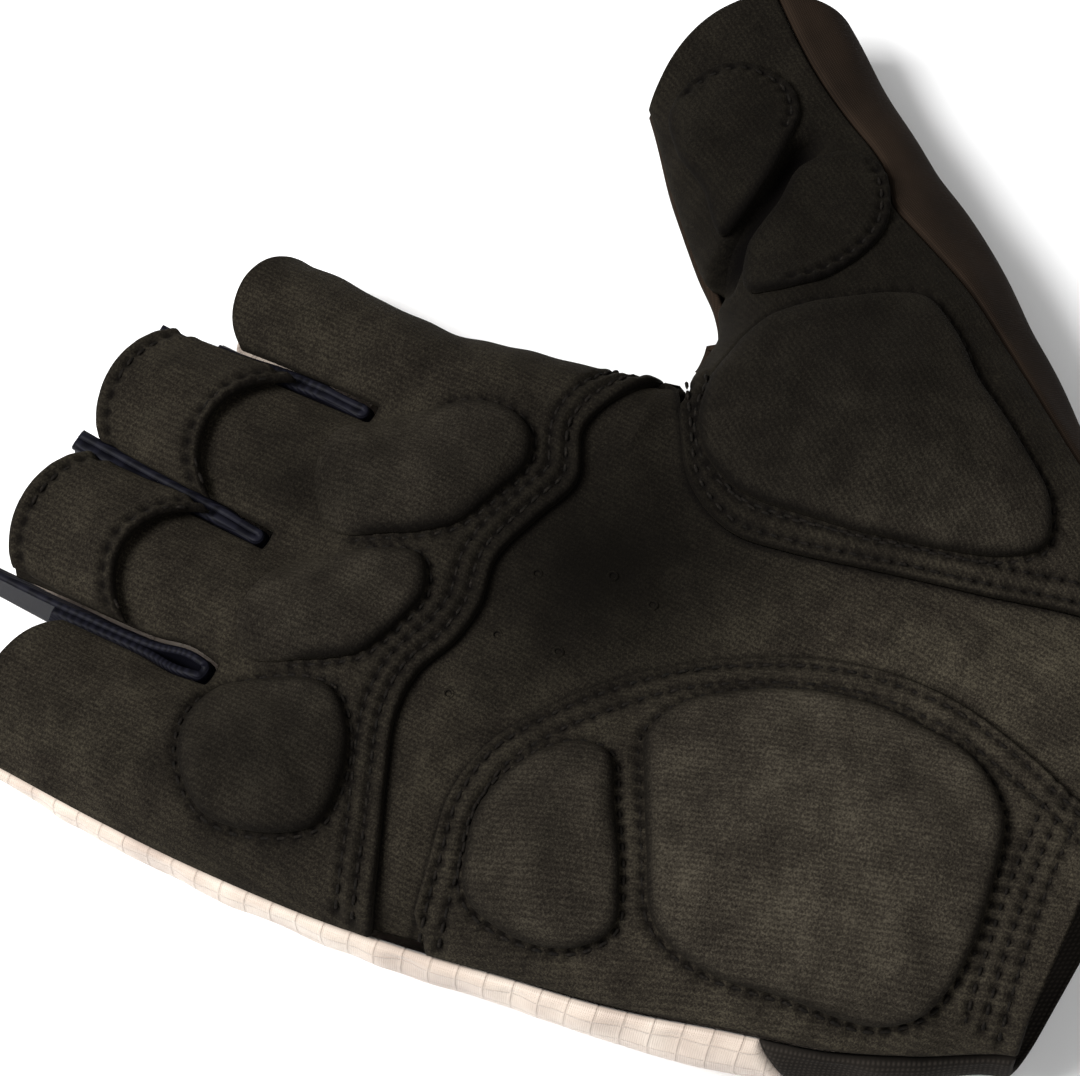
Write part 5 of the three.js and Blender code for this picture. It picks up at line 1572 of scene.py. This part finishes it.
def island(name, crown, bulge, roll):
    """A pad or patch that stands on the panel below it."""
    xy, line = pad_grid(name)
    sheet = on(palm_face, xy)
    x, y = xy[..., 0], xy[..., 1]
    edge = nearest(line, x, y)[0]
    base = undulation(x, y) + 0.12
    soft_end = smooth((y / LENGTH - SOFT_ENDS.get(name, 2)) / SOFT_RUN + 0.5)
    shoulder = np.clip(1 - edge / mix(roll, SOFT_ROLL, soft_end), 0, 1)
    rise = crown * np.sqrt(1 - shoulder ** SHOULDER_POWER) + bulge * smooth(edge / SWELL_RUN)
    soft = 0.16 * waves(x, y, 6, 61) * smooth(edge / 3)
    out = base + mix(0.25, 0.05, soft_end) + rise + soft
    patch = name in PATCHES
    sewn = [patch_rows[name]] if patch else []
    out = out + grooves(x, y, sewn)
    pressed_and_shade = pressed_and_shade_by(x, y, sewn, edge / 2) * (1 - soft_end)
    piece, area = cloth(name, sheet, suede_look if patch else lit_pad_look,
                        turned(x, y, GRAINS[name]), out, base, pressed_and_shade=pressed_and_shade)


for name in PADS:
    island(name, *(PATCH_FORM if name in PATCHES else PAD_FORM))

# %% [markdown]
# Each stitch is a short piece of thread that comes up out of the suede, lies along the row and
# dives back in. It is drawn as a small capsule that is thin and low at both ends.

# %% One stitch after another
THREAD, STITCH, DIVE, TAPER = 0.55, 1.75, 0.3, 0.93
RINGS, SIDES = 7, 6
# The six corners of a capsule's end are closed with two four-sided faces.
START_CAPS, END_CAPS = ([0, 1, 2, 3], [0, 3, 4, 5]), ([3, 2, 1, 0], [5, 4, 3, 0])


def unit(v):
    """Vectors scaled to length one."""
    return v / np.linalg.norm(v, axis=-1, keepdims=True)


def stitches(name, lines):
    """Capsules along rows of 3-D points: rings of six points round each stitch's own axis."""
    t = np.linspace(-1, 1, RINGS)
    parts = []
    for line in lines:
        middle = np.arange(PITCH / 2, lengths(line)[-1] - PITCH / 3, PITCH)
        along_row = (middle[:, None] + t[None] * STITCH / 2).ravel()
        parts.append(at_length(line, along_row).reshape(-1, RINGS, 3))
    spots = np.concatenate(parts)
    along = unit(np.gradient(spots, axis=1))
    across = unit(np.cross(along, (0, 0, 1)))
    above = np.cross(across, along)
    girth = THREAD / 2 * np.sqrt(1 - TAPER * t ** 4)[None, :, None, None]
    dive = (0.12 - DIVE * t ** 4)[None, :, None, None]
    a = np.linspace(0, 2 * np.pi, SIDES, endpoint=False)[None, None, :, None]
    points = (spots[:, :, None] + across[:, :, None] * np.cos(a) * girth
              + above[:, :, None] * (np.sin(a) * girth + dive))
    count = len(spots)
    index = np.arange(count * RINGS * SIDES).reshape(count, RINGS, SIDES)
    a, b = index[:, :-1], index[:, 1:]
    quads = np.stack([a, b, np.roll(b, -1, 2), np.roll(a, -1, 2)], -1).reshape(-1, 4)
    caps = [index[:, 0][:, c] for c in START_CAPS] + [index[:, -1][:, c] for c in END_CAPS]
    flat = points.reshape(-1, 3)
    mesh_piece(name, flat, np.concatenate([quads] + caps), flat[:, :2], thread_look)
    print(name, "stitches:", count)


# %% Rows of stitches
BETWEEN = (0.36 * WIDTH, 0.685 * WIDTH)  # where the palm panel lies open between two seams
PATCH_TOP, TAB_TOP = 1.45, 0.05


def on_suede(line, lift=0.0):
    """A row lifted onto the undulating suede, in its groove."""
    x, y = line[:, 0], line[:, 1]
    return np.stack([x, y, palm_face(x, y) + undulation(x, y) - GROOVE_DEPTH * 0.75 + lift], 1)


def cuff_sink(line):
    """The cuff's rows cross the sunken palm panel between two seams."""
    x = line[:, 0]
    return np.where((x > BETWEEN[0]) & (x < BETWEEN[1]), -SUNK + 0.3, 0)


for row in ("fingers", "heel", "thumb"):
    stitches("stitching_" + row, [on_suede(line) for line in rows[row]])
stitches("stitching_cuff", [on_suede(line, cuff_sink(line)) for line in rows["cuff"]])
stitches("stitching_pads", [on_suede(line) for line in pad_rows.values()])
stitches("stitching_patches", [on_suede(line, PATCH_TOP) for line in patch_rows.values()])
stitches("stitching_tabs", [on_suede(line, TAB_TOP + lift) for line, lift in tab_rows])

# %% [markdown]
# Six small holes are punched through the hollow of the palm to let heat out. Each has a rim
# that the punch has raised; the holes are drawn as cups that stand in such rims, with painted
# shade inside.

# %% Perforations
HOLES = [(26.7, 90.8), (31.8, 81.5), (30.8, 74.5), (15.7, 90.9), (17.5, 82.1), (4.4, 92.1)]
# Profile of a hole from its bottom outwards: radius and height. Shade is painted inside the radius below.
HOLE_PROFILE = [(0.05, -0.25), (0.3, -0.25), (0.42, 0.1), (0.55, 0.22), (0.72, 0.2), (0.9, 0.02),
                (1.0, -0.3)]
SHADED_WITHIN = 0.5


def perforations(around=20):
    """The profile turned round each hole's own upright axis."""
    radius, height = np.array(HOLE_PROFILE).T
    a = np.linspace(0, 2 * np.pi, around, endpoint=False)
    spots = np.array(HOLES)
    x = spots[:, 0, None, None] + radius[None, :, None] * np.cos(a)
    y = spots[:, 1, None, None] + radius[None, :, None] * np.sin(a)
    middle = palm_skin(spots[:, 0], spots[:, 1])[:, None, None]
    slope = palm_face(x, y) - palm_face(spots[:, 0], spots[:, 1])[:, None, None]
    z = middle + slope + height[None, :, None]
    points = np.stack([x, y, z], -1)
    index = np.arange(x.size).reshape(x.shape)
    p, q = index[:, :-1], index[:, 1:]
    faces = np.stack([p, np.roll(p, -1, 2), np.roll(q, -1, 2), q], -1).reshape(-1, 4)[:, ::-1]
    # Painted shade fills each hole's cup.
    pressed_and_shade = np.broadcast_to(np.where(radius < SHADED_WITHIN, 1.0, 0.0)[None, :, None], x.shape)
    flat = points.reshape(-1, 3)
    mesh_piece("perforations", flat, faces, flat[:, :2], suede_look, pressed_and_shade=pressed_and_shade.ravel())
    print("holes:", len(HOLES))


perforations()

# %% [markdown]
# The glove lies on a white table in soft light: a strong lamp at the upper left of the photo, a
# weak one at its lower left, and a white world that fills the shadows.

# %% Table and light
HALF_TABLE, TABLE_DROP = 3.0, 0.0002
WORLD_LIGHT = 0.34


def table():
    """A white ground, large enough that its edge is never seen."""
    corners = [(x * HALF_TABLE, y * HALF_TABLE, 0) for x, y in ((-1, -1), (1, -1), (1, 1), (-1, 1))]
    mesh = bpy.data.meshes.new("table")
    mesh.from_pydata(corners, [], [(0, 1, 2, 3)])
    material, tree, bsdf = finish_of("white_paper", Roughness=0.9)
    bsdf.inputs["Base Color"].default_value = linear("#f7f7f7")
    mesh.materials.append(material)
    ground = bpy.data.objects.new("table", mesh)
    bpy.context.scene.collection.objects.link(ground)
    ground.location.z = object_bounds()[0][2] - TABLE_DROP
    ground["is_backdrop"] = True


def lamp(name, place, size, power):
    """A square soft lamp that looks at the glove."""
    light = bpy.data.objects.new(name, bpy.data.lights.new(name, "AREA"))
    light.data.shape, light.data.size, light.data.energy = "SQUARE", size, power
    light.location = place
    light.rotation_mode = "QUATERNION"
    light.rotation_quaternion = (LOOKS_AT - light.location).to_track_quat("-Z", "Y")
    bpy.context.scene.collection.objects.link(light)


table()
lamp("key", Vector((-0.45, 0.6, 0.9)), 0.55, 25)
lamp("fill", Vector((-0.5, -0.6, 1.0)), 0.9, 4)
world = bpy.data.worlds.new("studio")
bpy.context.scene.world = world
world.use_nodes = True
background = world.node_tree.nodes["Background"]
background.inputs["Color"].default_value = (1, 1, 1, 1)
background.inputs["Strength"].default_value = WORLD_LIGHT
bpy.context.scene.view_settings.view_transform = "Standard"
print("world light:", WORLD_LIGHT)
